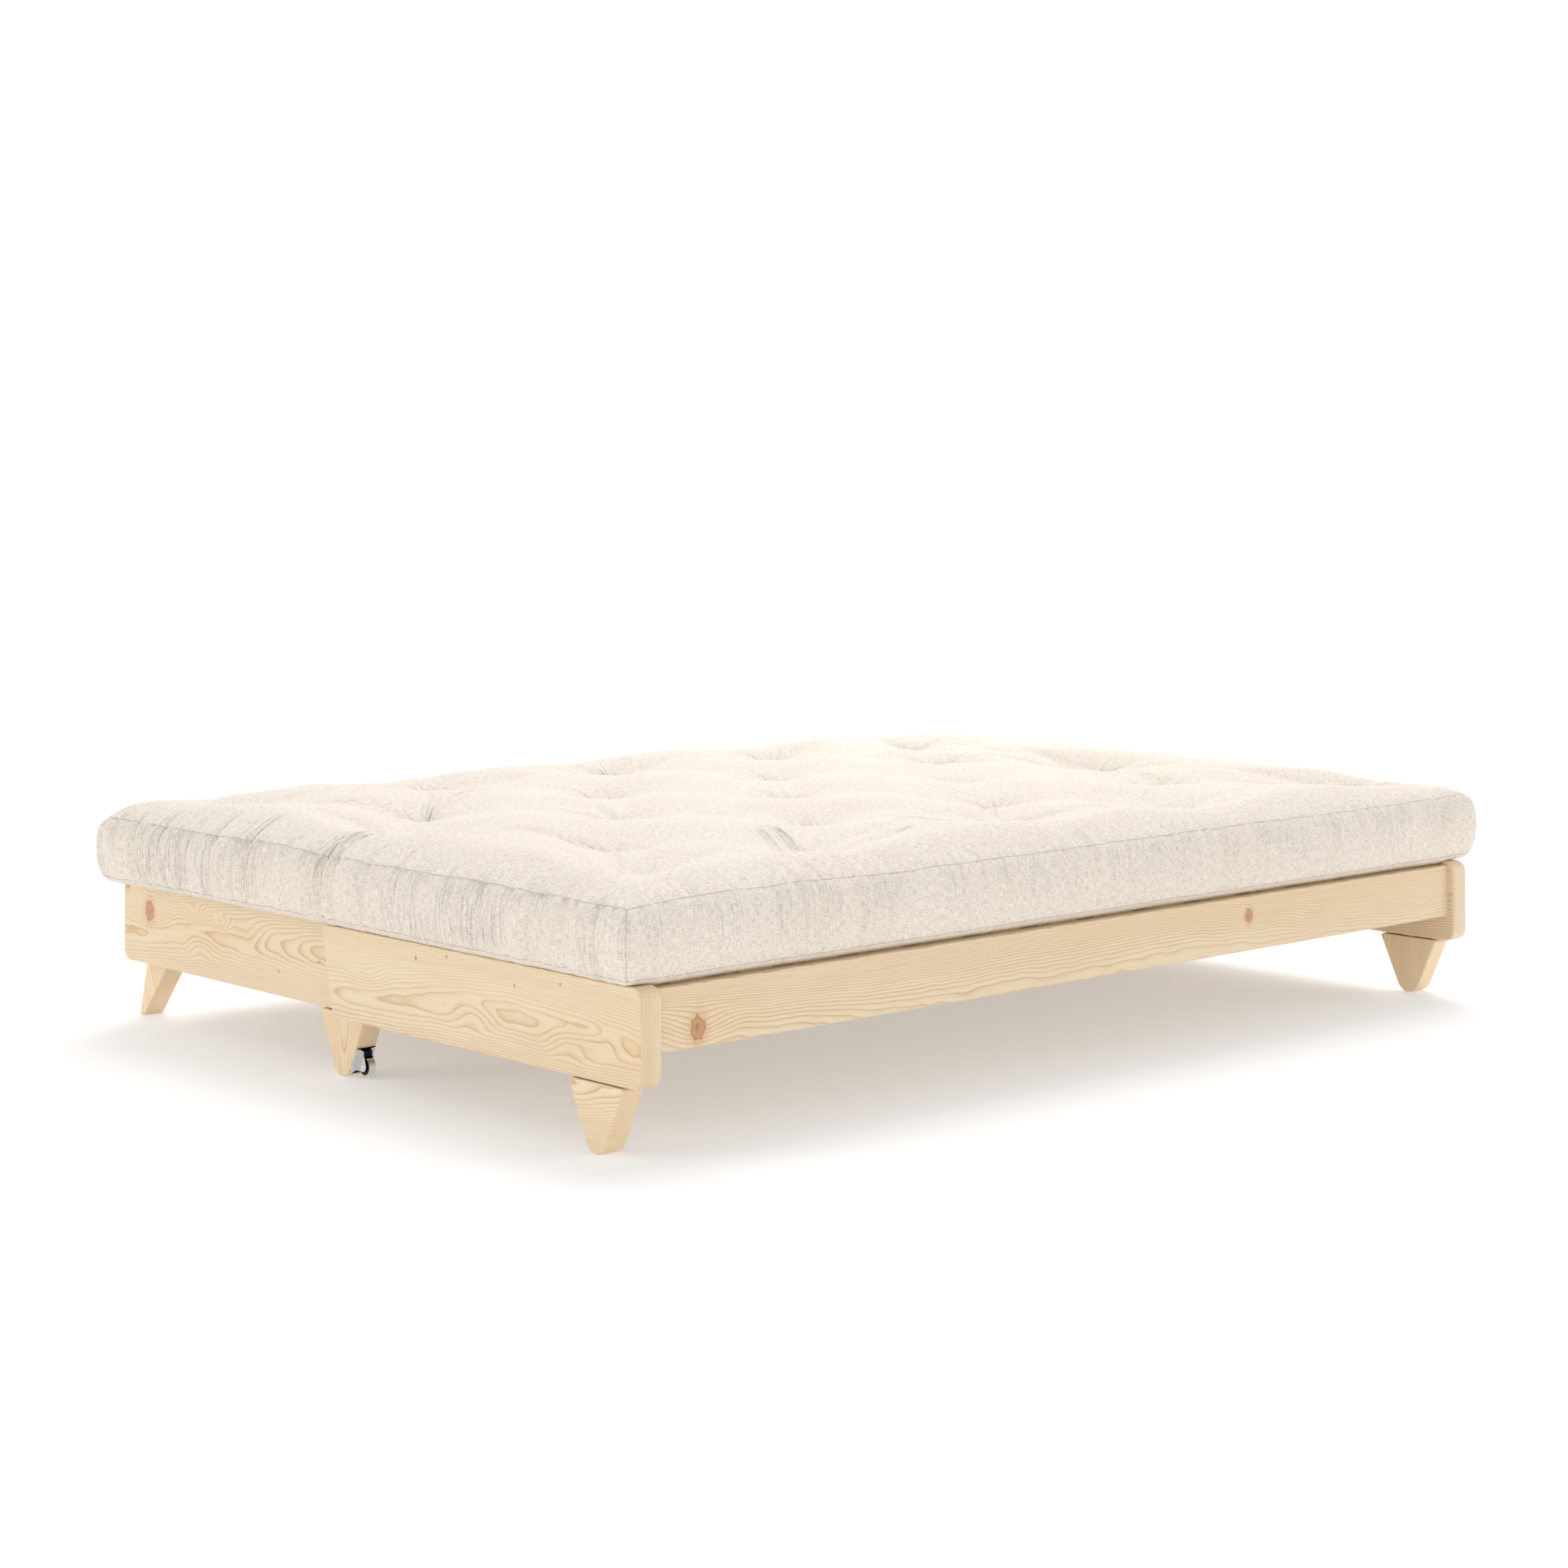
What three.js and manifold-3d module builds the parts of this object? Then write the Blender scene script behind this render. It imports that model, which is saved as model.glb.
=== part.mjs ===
// Futon sofa bed, shown as a bed. Millimetres, +Z up, -Y is the front of the seat.
// The origin is on the floor under the middle of the bed.
import * as THREE from 'three';
import { mergeVertices } from 'three/addons/utils/BufferGeometryUtils.js';
import Module from 'manifold-3d';

const wasm = await Module();
wasm.setup();

// Overall frame
const FRAME_LENGTH = 1980;
const BED_DEPTH = 1498;
const FRONT_Y = -BED_DEPTH / 2;
const BOARD_THICKNESS = 39;
const BOARD_BOTTOM = 105;
const BOARD_TOP = 251;
const BOARD_CORNER = 20;
const EDGE_ROUND = 3;
const FIT_GAP = 0.3;

// Seat side boards: the rear end slopes to line up with the folded back
const SEAT_END_TOP = 804;
const SEAT_END_BOTTOM = 772;
const SEAT_END_CORNER = 10;

// Back side boards lie inside the seat side boards
const BOARD_SPACING = 1.6;
const BACK_END = 1488;

// Pivot between the two frames
const PIVOT_FROM_FRONT = 745;
const PIVOT_Z = 150;
const FOLD_ANGLE = 75;
const BACK_NOSE_TOP = 72;
const BACK_NOSE_BOTTOM = 28;
const BOLT_RADIUS = 5;
const BOLT_HOLE_RADIUS = 5.06;
const BOLT_IN_SEAT_BOARD = 28;
const BOLT_HEAD_RADIUS = 11;
const BOLT_HEAD_HEIGHT = 5;
const WASHER_RADIUS = 15;
const WASHER_THICKNESS = 1;

// Rails and slats
const RAIL_THICKNESS = 38;
const RAIL_BOTTOM = 151.5;
const RAIL_TOP = 245;
const RAIL_RECESS = 12.5;
const REBATE_WIDTH = 13;
const SLAT_COUNT = 14;
const SLAT_WIDTH = 62;
const SLAT_PITCH = 134.4;
const SLAT_THICKNESS = 15;
const SLAT_BOTTOM = 233;
const SLAT_TO_PIVOT = 80;
const INNER_RAIL_BOTTOM = 171;
const SEAT_STOP_TO_PIVOT = 82.9;
const BACK_RAIL_TO_PIVOT = 85;

// Legs
const LEG_HEIGHT = 103;
const LEG_TOP_HALF = 63;
const LEG_TIP_RADIUS = 25;
const LEG_CORNER = 4;
const LEG_EDGE_ROUND = 2;
const FRONT_LEG_FROM_FRONT = 102.4;
const MID_LEG_FROM_FRONT = 804;
const REAR_LEG_TOP = 150;
const REAR_FOOT_FRONT = 1486.4;
const REAR_LEG_FRONT_SLOPE = 0.824;
const REAR_LEG_REAR_SLOPE = 0.245;
const STUD_RADIUS = 4;
const STUD_HOLE_RADIUS = 4.06;
const STUD_BOTTOM = 60;
const STUD_TOP = 150;
const STUD_COLLAR_RADIUS = 13;

// Castors on the sloping front faces of the middle legs
const PLATE_WIDTH = 36;
const PLATE_LOW = 9;
const PLATE_HIGH = 55;
const PLATE_THICKNESS = 2;
const WHEEL_ALONG = 30;
const WHEEL_OUT = 16.5;
const WHEEL_RADIUS = 14;
const WHEEL_WIDTH = 13;
const CHEEK_THICKNESS = 1.6;
const CHEEK_INSIDE = 7.5;
const AXLE_RADIUS = 2.5;
const AXLE_HOLE_RADIUS = 2.56;
const AXLE_HEAD_RADIUS = 4;
const AXLE_HEAD_THICKNESS = 1.2;

// Futon
const FUTON_LENGTH = 2040;
const FUTON_FRONT = 2;
const FUTON_REAR = 1470;
const FUTON_BOTTOM = 251.5;
const FUTON_TOP = 394;
const FUTON_ROUND = 28;
const FUTON_CLEARANCE = 2;

// Derived values
const fromFront = (distance) => FRONT_Y + distance;
const outerX = FRAME_LENGTH / 2;
const seatBoardX = outerX - BOARD_THICKNESS;
const backBoardOuterX = seatBoardX - BOARD_SPACING;
const backBoardX = backBoardOuterX - BOARD_THICKNESS;
const pivotY = fromFront(PIVOT_FROM_FRONT);
const pivotAbove = BOARD_TOP - PIVOT_Z;
const frontLegY = fromFront(FRONT_LEG_FROM_FRONT);
const midLegY = fromFront(MID_LEG_FROM_FRONT);
const seatLegX = outerX - BOARD_THICKNESS / 2;
const midLegX = backBoardOuterX - BOARD_THICKNESS / 2;

const group = new THREE.Group();
group.name = 'futon_sofa_bed';

const paint = (color, roughness, metalness = 0) =>
  () => new THREE.MeshStandardMaterial({ color, roughness, metalness });
const pine = paint(0xe6cfa6, 0.55);
const slatPine = paint(0xdfc79c, 0.65);
const linen = paint(0xe9e2d6, 0.95);
const zinc = paint(0xb9bcc0, 0.35, 1);
const chrome = paint(0xd8dadd, 0.12, 1);
const blackTyre = paint(0x1c1c1e, 0.6);

// ---------- geometry helpers ----------

function toManifold(geometry) {
  const plain = geometry.clone();
  plain.deleteAttribute('normal');
  plain.deleteAttribute('uv');
  const merged = mergeVertices(plain, 1e-4);
  return new wasm.Manifold(new wasm.Mesh({
    numProp: 3,
    vertProperties: new Float32Array(merged.attributes.position.array),
    triVerts: new Uint32Array(merged.index.array),
  }));
}

function toGeometry(solid) {
  const { vertProperties, triVerts } = solid.getMesh();
  const geometry = new THREE.BufferGeometry();
  geometry.setAttribute('position', new THREE.BufferAttribute(new Float32Array(vertProperties), 3));
  geometry.setIndex(new THREE.BufferAttribute(new Uint32Array(triVerts), 1));
  geometry.computeVertexNormals();
  return geometry;
}

function add(name, shape, makeMaterial) {
  const geometry = shape.isBufferGeometry ? shape : toGeometry(shape);
  const mesh = new THREE.Mesh(geometry, makeMaterial());
  mesh.name = name;
  group.add(mesh);
}

// Corners are [y, z, radius]; the result is the outline with each corner rounded.
function roundedOutline(corners, steps = 5) {
  const outline = [];
  corners.forEach(([y, z, radius], i) => {
    const here = new THREE.Vector2(y, z);
    const before = corners[(i + corners.length - 1) % corners.length];
    const after = corners[(i + 1) % corners.length];
    const toBefore = new THREE.Vector2(before[0] - y, before[1] - z).normalize();
    const toAfter = new THREE.Vector2(after[0] - y, after[1] - z).normalize();
    if (!radius) {
      outline.push(here);
      return;
    }
    const half = Math.acos(toBefore.dot(toAfter)) / 2;
    const middle = toBefore.clone().add(toAfter).normalize();
    const centre = here.clone().addScaledVector(middle, radius / Math.sin(half));
    const start = here.clone().addScaledVector(toBefore, radius / Math.tan(half)).sub(centre);
    const end = here.clone().addScaledVector(toAfter, radius / Math.tan(half)).sub(centre);
    const turn = Math.atan2(start.cross(end), start.dot(end));
    for (let k = 0; k <= steps; k += 1) {
      const angle = (turn * k) / steps;
      outline.push(start.clone().rotateAround(new THREE.Vector2(), angle).add(centre));
    }
  });
  return outline;
}

// An outline in Y and Z pulled along X from x0 to x1, its long edges rounded.
function alongX(outline, x0, x1, round = 0, roundSteps = 2) {
  const shape = new THREE.Shape(outline);
  const geometry = new THREE.ExtrudeGeometry(shape, {
    depth: x1 - x0 - 2 * round,
    bevelEnabled: round > 0,
    bevelSize: round,
    bevelOffset: -round,
    bevelThickness: round,
    bevelSegments: roundSteps,
    steps: 1,
  });
  geometry.translate(0, 0, x0 + round);
  const turn = new THREE.Matrix4().makeBasis(
    new THREE.Vector3(0, 1, 0),
    new THREE.Vector3(0, 0, 1),
    new THREE.Vector3(1, 0, 0),
  );
  geometry.applyMatrix4(turn);
  return geometry;
}

function box(x0, x1, y0, y1, z0, z1) {
  const geometry = new THREE.BoxGeometry(x1 - x0, y1 - y0, z1 - z0);
  geometry.translate((x0 + x1) / 2, (y0 + y1) / 2, (z0 + z1) / 2);
  return geometry;
}

function rodAlongX(radius, x0, x1, y, z, sides = 32) {
  const geometry = new THREE.CylinderGeometry(radius, radius, x1 - x0, sides);
  geometry.rotateZ(Math.PI / 2);
  geometry.translate((x0 + x1) / 2, y, z);
  return geometry;
}

function rodAlongZ(radius, z0, z1, x, y, sides = 24) {
  const geometry = new THREE.CylinderGeometry(radius, radius, z1 - z0, sides);
  geometry.rotateX(Math.PI / 2);
  geometry.translate(x, y, (z0 + z1) / 2);
  return geometry;
}

// The same x interval on the left (side -1) or the right (side +1).
const span = (side, inner, outer) => (side > 0 ? [inner, outer] : [-outer, -inner]);

const SIDES = [['left', -1], ['right', 1]];

// ---------- seat frame ----------

const seatBoardOutline = roundedOutline([
  [fromFront(0), BOARD_BOTTOM, BOARD_CORNER],
  [fromFront(SEAT_END_BOTTOM), BOARD_BOTTOM, SEAT_END_CORNER],
  [fromFront(SEAT_END_TOP), BOARD_TOP, SEAT_END_CORNER],
  [fromFront(0), BOARD_TOP, BOARD_CORNER],
]);

function seatBoard(side) {
  const [x0, x1] = span(side, seatBoardX, outerX);
  const board = toManifold(alongX(seatBoardOutline, x0, x1, EDGE_ROUND));
  const [h0, h1] = span(side, seatBoardX - 1, seatBoardX + BOLT_IN_SEAT_BOARD + FIT_GAP);
  const boltHole = toManifold(rodAlongX(BOLT_HOLE_RADIUS, h0, h1, pivotY, PIVOT_Z));
  const studHole = toManifold(
    rodAlongZ(STUD_HOLE_RADIUS, BOARD_BOTTOM - 1, STUD_TOP + FIT_GAP, side * seatLegX, frontLegY),
  );
  return board.subtract(boltHole).subtract(studHole);
}

// A rail with a rebate along its top for the slat ends; facing is +1 when the rebate faces +Y.
function rebatedRail(halfLength, plainFace, facing) {
  const far = plainFace + facing * RAIL_THICKNESS;
  const step = plainFace + facing * (RAIL_THICKNESS - REBATE_WIDTH);
  const corners = [
    [plainFace, RAIL_BOTTOM, EDGE_ROUND],
    [far, RAIL_BOTTOM, EDGE_ROUND],
    [far, SLAT_BOTTOM - FIT_GAP, 0],
    [step, SLAT_BOTTOM - FIT_GAP, 0],
    [step, RAIL_TOP, 0],
    [plainFace, RAIL_TOP, EDGE_ROUND],
  ];
  if (facing < 0) {
    corners.reverse();
  }
  return alongX(roundedOutline(corners, 3), -halfLength, halfLength);
}

// Its rear face leans like the edge of the folded back board, which comes to rest against it.
function seatRearRail() {
  const rear = pivotY - SEAT_STOP_TO_PIVOT;
  const top = SLAT_BOTTOM - FIT_GAP;
  const lean = (top - INNER_RAIL_BOTTOM) / Math.tan(THREE.MathUtils.degToRad(FOLD_ANGLE));
  const outline = roundedOutline([
    [rear - RAIL_THICKNESS, INNER_RAIL_BOTTOM, EDGE_ROUND],
    [rear - lean, INNER_RAIL_BOTTOM, 0],
    [rear, top, 0],
    [rear - RAIL_THICKNESS, top, EDGE_ROUND],
  ], 3);
  return alongX(outline, -seatBoardX + FIT_GAP, seatBoardX - FIT_GAP);
}

function backFrontRail() {
  const front = pivotY + BACK_RAIL_TO_PIVOT;
  const outline = roundedOutline([
    [front, INNER_RAIL_BOTTOM, EDGE_ROUND],
    [front + RAIL_THICKNESS, INNER_RAIL_BOTTOM, EDGE_ROUND],
    [front + RAIL_THICKNESS, SLAT_BOTTOM - FIT_GAP, EDGE_ROUND],
    [front, SLAT_BOTTOM - FIT_GAP, EDGE_ROUND],
  ], 3);
  return alongX(outline, -backBoardX + FIT_GAP, backBoardX - FIT_GAP);
}

function slatRow(prefix, y0, y1) {
  const first = -(SLAT_PITCH * (SLAT_COUNT - 1) + SLAT_WIDTH) / 2;
  for (let i = 0; i < SLAT_COUNT; i += 1) {
    const x = first + i * SLAT_PITCH;
    const number = String(i + 1).padStart(2, '0');
    const slat = box(x, x + SLAT_WIDTH, y0, y1, SLAT_BOTTOM, SLAT_BOTTOM + SLAT_THICKNESS);
    add(`${prefix}_${number}`, slat, slatPine);
  }
}

// ---------- legs ----------

// A leg that narrows to a round tip; the tip's circle just touches the floor.
function legOutline(centreY) {
  const rise = LEG_HEIGHT - LEG_TIP_RADIUS;
  const toCentre = Math.atan2(LEG_TOP_HALF, rise);
  const offLine = Math.asin(LEG_TIP_RADIUS / Math.hypot(LEG_TOP_HALF, rise));
  const slope = Math.tan(toCentre - offLine);
  const apexZ = LEG_HEIGHT - LEG_TOP_HALF / slope;
  return roundedOutline([
    [centreY, apexZ, LEG_TIP_RADIUS],
    [centreY + LEG_TOP_HALF, LEG_HEIGHT, LEG_CORNER],
    [centreY - LEG_TOP_HALF, LEG_HEIGHT, LEG_CORNER],
  ], 8);
}

function taperedLeg(side, centreX, centreY) {
  const [x0, x1] = span(side, centreX - BOARD_THICKNESS / 2, centreX + BOARD_THICKNESS / 2);
  const leg = toManifold(alongX(legOutline(centreY), x0, x1, LEG_EDGE_ROUND));
  const hole = toManifold(
    rodAlongZ(STUD_HOLE_RADIUS, STUD_BOTTOM - FIT_GAP, LEG_HEIGHT + 1, side * centreX, centreY),
  );
  return leg.subtract(hole);
}

// A stud with a thin collar that keeps the leg just clear of the board above it.
function legStud(side, centreX, centreY) {
  const stud = toManifold(rodAlongZ(STUD_RADIUS, STUD_BOTTOM, STUD_TOP, side * centreX, centreY));
  const collar = toManifold(rodAlongZ(
    STUD_COLLAR_RADIUS,
    LEG_HEIGHT + FIT_GAP,
    BOARD_BOTTOM - FIT_GAP,
    side * centreX,
    centreY,
  ));
  return stud.add(collar);
}

function rearLeg(side) {
  const [x0, x1] = span(side, backBoardX - FIT_GAP - BOARD_THICKNESS, backBoardX - FIT_GAP);
  const outline = roundedOutline([
    [fromFront(REAR_FOOT_FRONT), 0, 0],
    [fromFront(BED_DEPTH), 0, 0],
    [fromFront(BED_DEPTH - REAR_LEG_REAR_SLOPE * REAR_LEG_TOP), REAR_LEG_TOP, EDGE_ROUND],
    [fromFront(REAR_FOOT_FRONT - REAR_LEG_FRONT_SLOPE * REAR_LEG_TOP), REAR_LEG_TOP, EDGE_ROUND],
  ], 3);
  return alongX(outline, x0, x1);
}

// ---------- back frame ----------

function backBoardOutline() {
  const noseAngle = Math.PI - Math.acos(BACK_NOSE_TOP / pivotAbove);
  const corners = [
    [pivotY - BACK_NOSE_BOTTOM, BOARD_BOTTOM, 8],
    [fromFront(BACK_END), BOARD_BOTTOM, BOARD_CORNER],
    [fromFront(BACK_END), BOARD_TOP, BOARD_CORNER],
  ];
  const steps = 8;
  for (let k = 0; k <= steps; k += 1) {
    const angle = Math.PI / 2 + ((noseAngle - Math.PI / 2) * k) / steps;
    const y = pivotY + pivotAbove * Math.cos(angle);
    const z = PIVOT_Z + pivotAbove * Math.sin(angle);
    corners.push([y, z, 0]);
  }
  return roundedOutline(corners);
}

function backBoard(side) {
  const [x0, x1] = span(side, backBoardX, backBoardOuterX);
  const board = toManifold(alongX(backBoardOutline(), x0, x1, EDGE_ROUND));
  const boltHole = toManifold(rodAlongX(BOLT_HOLE_RADIUS, x0 - 1, x1 + 1, pivotY, PIVOT_Z));
  const studHole = toManifold(
    rodAlongZ(STUD_HOLE_RADIUS, BOARD_BOTTOM - 1, STUD_TOP + FIT_GAP, side * midLegX, midLegY),
  );
  return board.subtract(boltHole).subtract(studHole);
}

// ---------- pivots ----------

function pivotBolt(side) {
  const headOuter = backBoardX - FIT_GAP;
  const [s0, s1] = span(side, headOuter - 1, seatBoardX + BOLT_IN_SEAT_BOARD);
  const [h0, h1] = span(side, headOuter - BOLT_HEAD_HEIGHT, headOuter);
  const shank = toManifold(rodAlongX(BOLT_RADIUS, s0, s1, pivotY, PIVOT_Z));
  const head = toManifold(rodAlongX(BOLT_HEAD_RADIUS, h0, h1, pivotY, PIVOT_Z));
  return shank.add(head);
}

function pivotWasher(side) {
  const [x0, x1] = span(
    side,
    backBoardOuterX + FIT_GAP,
    backBoardOuterX + FIT_GAP + WASHER_THICKNESS,
  );
  const disc = toManifold(rodAlongX(WASHER_RADIUS, x0, x1, pivotY, PIVOT_Z));
  const hole = toManifold(rodAlongX(BOLT_HOLE_RADIUS, x0 - 1, x1 + 1, pivotY, PIVOT_Z));
  return disc.subtract(hole);
}

// ---------- castors ----------

// Positions on the leg's sloping front face: along runs up the face, out points away from it.
const tipToCorner = Math.atan2(LEG_TOP_HALF, LEG_HEIGHT - LEG_TIP_RADIUS);
const tipOffLine = Math.asin(
  LEG_TIP_RADIUS / Math.hypot(LEG_TOP_HALF, LEG_HEIGHT - LEG_TIP_RADIUS),
);
const faceAngle = tipToCorner - tipOffLine;
const faceFootY = midLegY - LEG_TOP_HALF + LEG_HEIGHT * Math.tan(faceAngle);

function onFace(along, out) {
  const y = faceFootY - along * Math.sin(faceAngle) - out * Math.cos(faceAngle);
  const z = along * Math.cos(faceAngle) - out * Math.sin(faceAngle);
  return new THREE.Vector2(y, z);
}

const facePolygon = (points) => points.map(([along, out]) => onFace(along, out));
const wheelCentre = onFace(WHEEL_ALONG, WHEEL_OUT);

function castorBracket(side) {
  const x = side * midLegX;
  const plateTop = FIT_GAP + PLATE_THICKNESS;
  const plate = toManifold(alongX(facePolygon([
    [PLATE_LOW, FIT_GAP],
    [PLATE_LOW, plateTop],
    [PLATE_HIGH, plateTop],
    [PLATE_HIGH, FIT_GAP],
  ]), x - PLATE_WIDTH / 2, x + PLATE_WIDTH / 2));
  const cheekOutline = facePolygon([
    [14, plateTop - 0.5],
    [23, 21],
    [27, 24],
    [33, 24],
    [38, 20],
    [45, 12],
    [52, 7],
    [52, plateTop - 0.5],
  ]);
  const hoodOutline = facePolygon([
    [50.4, plateTop - 0.5],
    [50.4, 6.2],
    [45.5, 9.8],
    [45.5, 11.6],
    [52, 7],
    [52, plateTop - 0.5],
  ]);
  const cheekOutside = CHEEK_INSIDE + CHEEK_THICKNESS;
  const left = toManifold(alongX(cheekOutline, x - cheekOutside, x - CHEEK_INSIDE));
  const right = toManifold(alongX(cheekOutline, x + CHEEK_INSIDE, x + cheekOutside));
  const hood = toManifold(alongX(hoodOutline, x - cheekOutside, x + cheekOutside));
  const bore = toManifold(rodAlongX(
    AXLE_HOLE_RADIUS,
    x - cheekOutside - 1,
    x + cheekOutside + 1,
    wheelCentre.x,
    wheelCentre.y,
    24,
  ));
  return plate.add(left).add(right).add(hood).subtract(bore);
}

function castorAxle(side) {
  const x = side * midLegX;
  const inside = CHEEK_INSIDE + CHEEK_THICKNESS + 0.1;
  const head = inside + AXLE_HEAD_THICKNESS;
  const at = [wheelCentre.x, wheelCentre.y, 24];
  const shank = toManifold(rodAlongX(AXLE_RADIUS, x - inside - 0.5, x + inside + 0.5, ...at));
  const headLeft = toManifold(rodAlongX(AXLE_HEAD_RADIUS, x - head, x - inside, ...at));
  const headRight = toManifold(rodAlongX(AXLE_HEAD_RADIUS, x + inside, x + head, ...at));
  return shank.add(headLeft).add(headRight);
}

function castorWheel(side) {
  const x = side * midLegX;
  const half = WHEEL_WIDTH / 2;
  const at = [wheelCentre.x, wheelCentre.y];
  const rim = toManifold(rodAlongX(WHEEL_RADIUS, x - half, x + half, ...at, 48));
  const bore = toManifold(rodAlongX(AXLE_HOLE_RADIUS, x - half - 1, x + half + 1, ...at, 24));
  return rim.subtract(bore);
}

// ---------- futon ----------

// The fold is the wedge between the two half angles of the hinge, with its point at the pivot.
const foldHalf = THREE.MathUtils.degToRad(FOLD_ANGLE / 2);
const foldAt = (z) => (z - PIVOT_Z) * Math.tan(foldHalf);

function futonSeat() {
  const corner = FUTON_ROUND;
  const outline = roundedOutline([
    [fromFront(FUTON_FRONT), FUTON_BOTTOM, corner],
    [pivotY - foldAt(FUTON_BOTTOM) - FUTON_CLEARANCE, FUTON_BOTTOM, 0],
    [pivotY - foldAt(FUTON_TOP) - FUTON_CLEARANCE, FUTON_TOP, 0],
    [fromFront(FUTON_FRONT), FUTON_TOP, corner],
  ]);
  return alongX(outline, -FUTON_LENGTH / 2, FUTON_LENGTH / 2);
}

function futonBack() {
  const corner = FUTON_ROUND;
  const outline = roundedOutline([
    [pivotY + foldAt(FUTON_BOTTOM) + FUTON_CLEARANCE, FUTON_BOTTOM, 0],
    [fromFront(FUTON_REAR), FUTON_BOTTOM, corner],
    [fromFront(FUTON_REAR), FUTON_TOP, corner],
    [pivotY + foldAt(FUTON_TOP) + FUTON_CLEARANCE, FUTON_TOP, 0],
  ]);
  return alongX(outline, -FUTON_LENGTH / 2, FUTON_LENGTH / 2);
}

function futonFold() {
  const gap = FUTON_CLEARANCE - FIT_GAP;
  const outline = roundedOutline([
    [pivotY - foldAt(FUTON_BOTTOM) - gap, FUTON_BOTTOM, 0],
    [pivotY + foldAt(FUTON_BOTTOM) + gap, FUTON_BOTTOM, 0],
    [pivotY + foldAt(FUTON_TOP) + gap, FUTON_TOP, 0],
    [pivotY - foldAt(FUTON_TOP) - gap, FUTON_TOP, 0],
  ]);
  return alongX(outline, -FUTON_LENGTH / 2, FUTON_LENGTH / 2);
}

// ---------- assembly ----------

for (const [word, side] of SIDES) {
  add(`seat_side_${word}`, seatBoard(side), pine);
  add(`seat_leg_${word}`, taperedLeg(side, seatLegX, frontLegY), pine);
  add(`seat_leg_stud_${word}`, legStud(side, seatLegX, frontLegY), zinc);
  add(`back_side_${word}`, backBoard(side), pine);
  add(`middle_leg_${word}`, taperedLeg(side, midLegX, midLegY), pine);
  add(`middle_leg_stud_${word}`, legStud(side, midLegX, midLegY), zinc);
  add(`rear_leg_${word}`, rearLeg(side), pine);
  add(`pivot_bolt_${word}`, pivotBolt(side), zinc);
  add(`pivot_washer_${word}`, pivotWasher(side), zinc);
  add(`castor_bracket_${word}`, castorBracket(side), chrome);
  add(`castor_axle_${word}`, castorAxle(side), zinc);
  add(`castor_wheel_${word}`, castorWheel(side), blackTyre);
}

const frontRailFace = fromFront(RAIL_RECESS);
const rearRailFace = fromFront(BACK_END - RAIL_RECESS);
const slatInset = RAIL_THICKNESS - REBATE_WIDTH + FIT_GAP;

add('seat_front_rail', rebatedRail(seatBoardX - FIT_GAP, frontRailFace, 1), pine);
add('seat_rear_rail', seatRearRail(), pine);
add('back_front_rail', backFrontRail(), pine);
add('back_rear_rail', rebatedRail(backBoardX - FIT_GAP, rearRailFace, -1), pine);
slatRow('seat_slat', frontRailFace + slatInset, pivotY - SLAT_TO_PIVOT);
slatRow('back_slat', pivotY + SLAT_TO_PIVOT, rearRailFace - slatInset);
add('futon_seat', futonSeat(), linen);
add('futon_back', futonBack(), linen);
add('futon_fold', futonFold(), linen);

export default group;
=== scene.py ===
# Futon sofa bed opened flat: pine frame, castors and a tufted linen futon.
# Metres, +Z up, -Y is the front of the seat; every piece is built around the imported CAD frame.
import math

import bpy
import numpy as np
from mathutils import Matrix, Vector


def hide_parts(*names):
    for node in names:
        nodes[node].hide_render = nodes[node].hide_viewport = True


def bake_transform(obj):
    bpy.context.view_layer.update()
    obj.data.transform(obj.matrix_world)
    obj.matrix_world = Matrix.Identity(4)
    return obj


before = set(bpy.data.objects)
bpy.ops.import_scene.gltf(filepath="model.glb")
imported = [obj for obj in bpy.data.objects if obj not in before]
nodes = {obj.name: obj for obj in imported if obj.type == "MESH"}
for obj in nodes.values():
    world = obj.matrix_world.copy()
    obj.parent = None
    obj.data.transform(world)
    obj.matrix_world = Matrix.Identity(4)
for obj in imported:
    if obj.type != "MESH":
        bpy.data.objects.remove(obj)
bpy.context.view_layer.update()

# ---------- driving values ----------

# Light
WORLD_STRENGTH = 0.6
FLOOR_GLOW = 0.32

# Camera
CAMERA_PLACE = (-3.77764, -4.1051, 1.02868)
CAMERA_YAW = -42.372
CAMERA_LENS = 70.72
CAMERA_SENSOR = 36.0
CAMERA_SHIFT_Y = -0.2194

# Futon, seam to seam
SEAM_X = (-1.000, 1.018)
SEAM_Y = (-0.729, 0.703)
SEAM_Z = 0.367
EDGE_LENGTHS = (SEAM_X[1] - SEAM_X[0], SEAM_Y[1] - SEAM_Y[0])
FUTON_BASE_Z = 0.2515
CELL = 0.0125
PLAN_ROUND = 0.014
# How far each row of the side band stands out from the seam, and its height
SIDE_PROFILE = (
    (0.0062, 0.3590), (0.0098, 0.3490), (0.0122, 0.3370), (0.0133, 0.3240), (0.0136, 0.3110),
    (0.0131, 0.2980), (0.0116, 0.2850), (0.0086, 0.2720), (0.0036, 0.2600), (-0.0040, 0.2512),
    (-0.0180, 0.2500),
)
SIDE_ROWS = len(SIDE_PROFILE)
SIDE_LENGTH = 0.135
# Each point's "band" value is 0 on the top and 1 at the foot of the side band
ON_TOP = 1e-4
AT_FOOT = 0.999
BOTTOM_SEAM_ROW = 9
# The side panels' weave is laid out this far from the top panel's
SIDE_PANEL_AT = 10.0
CORNER_REACH = 0.16
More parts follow.
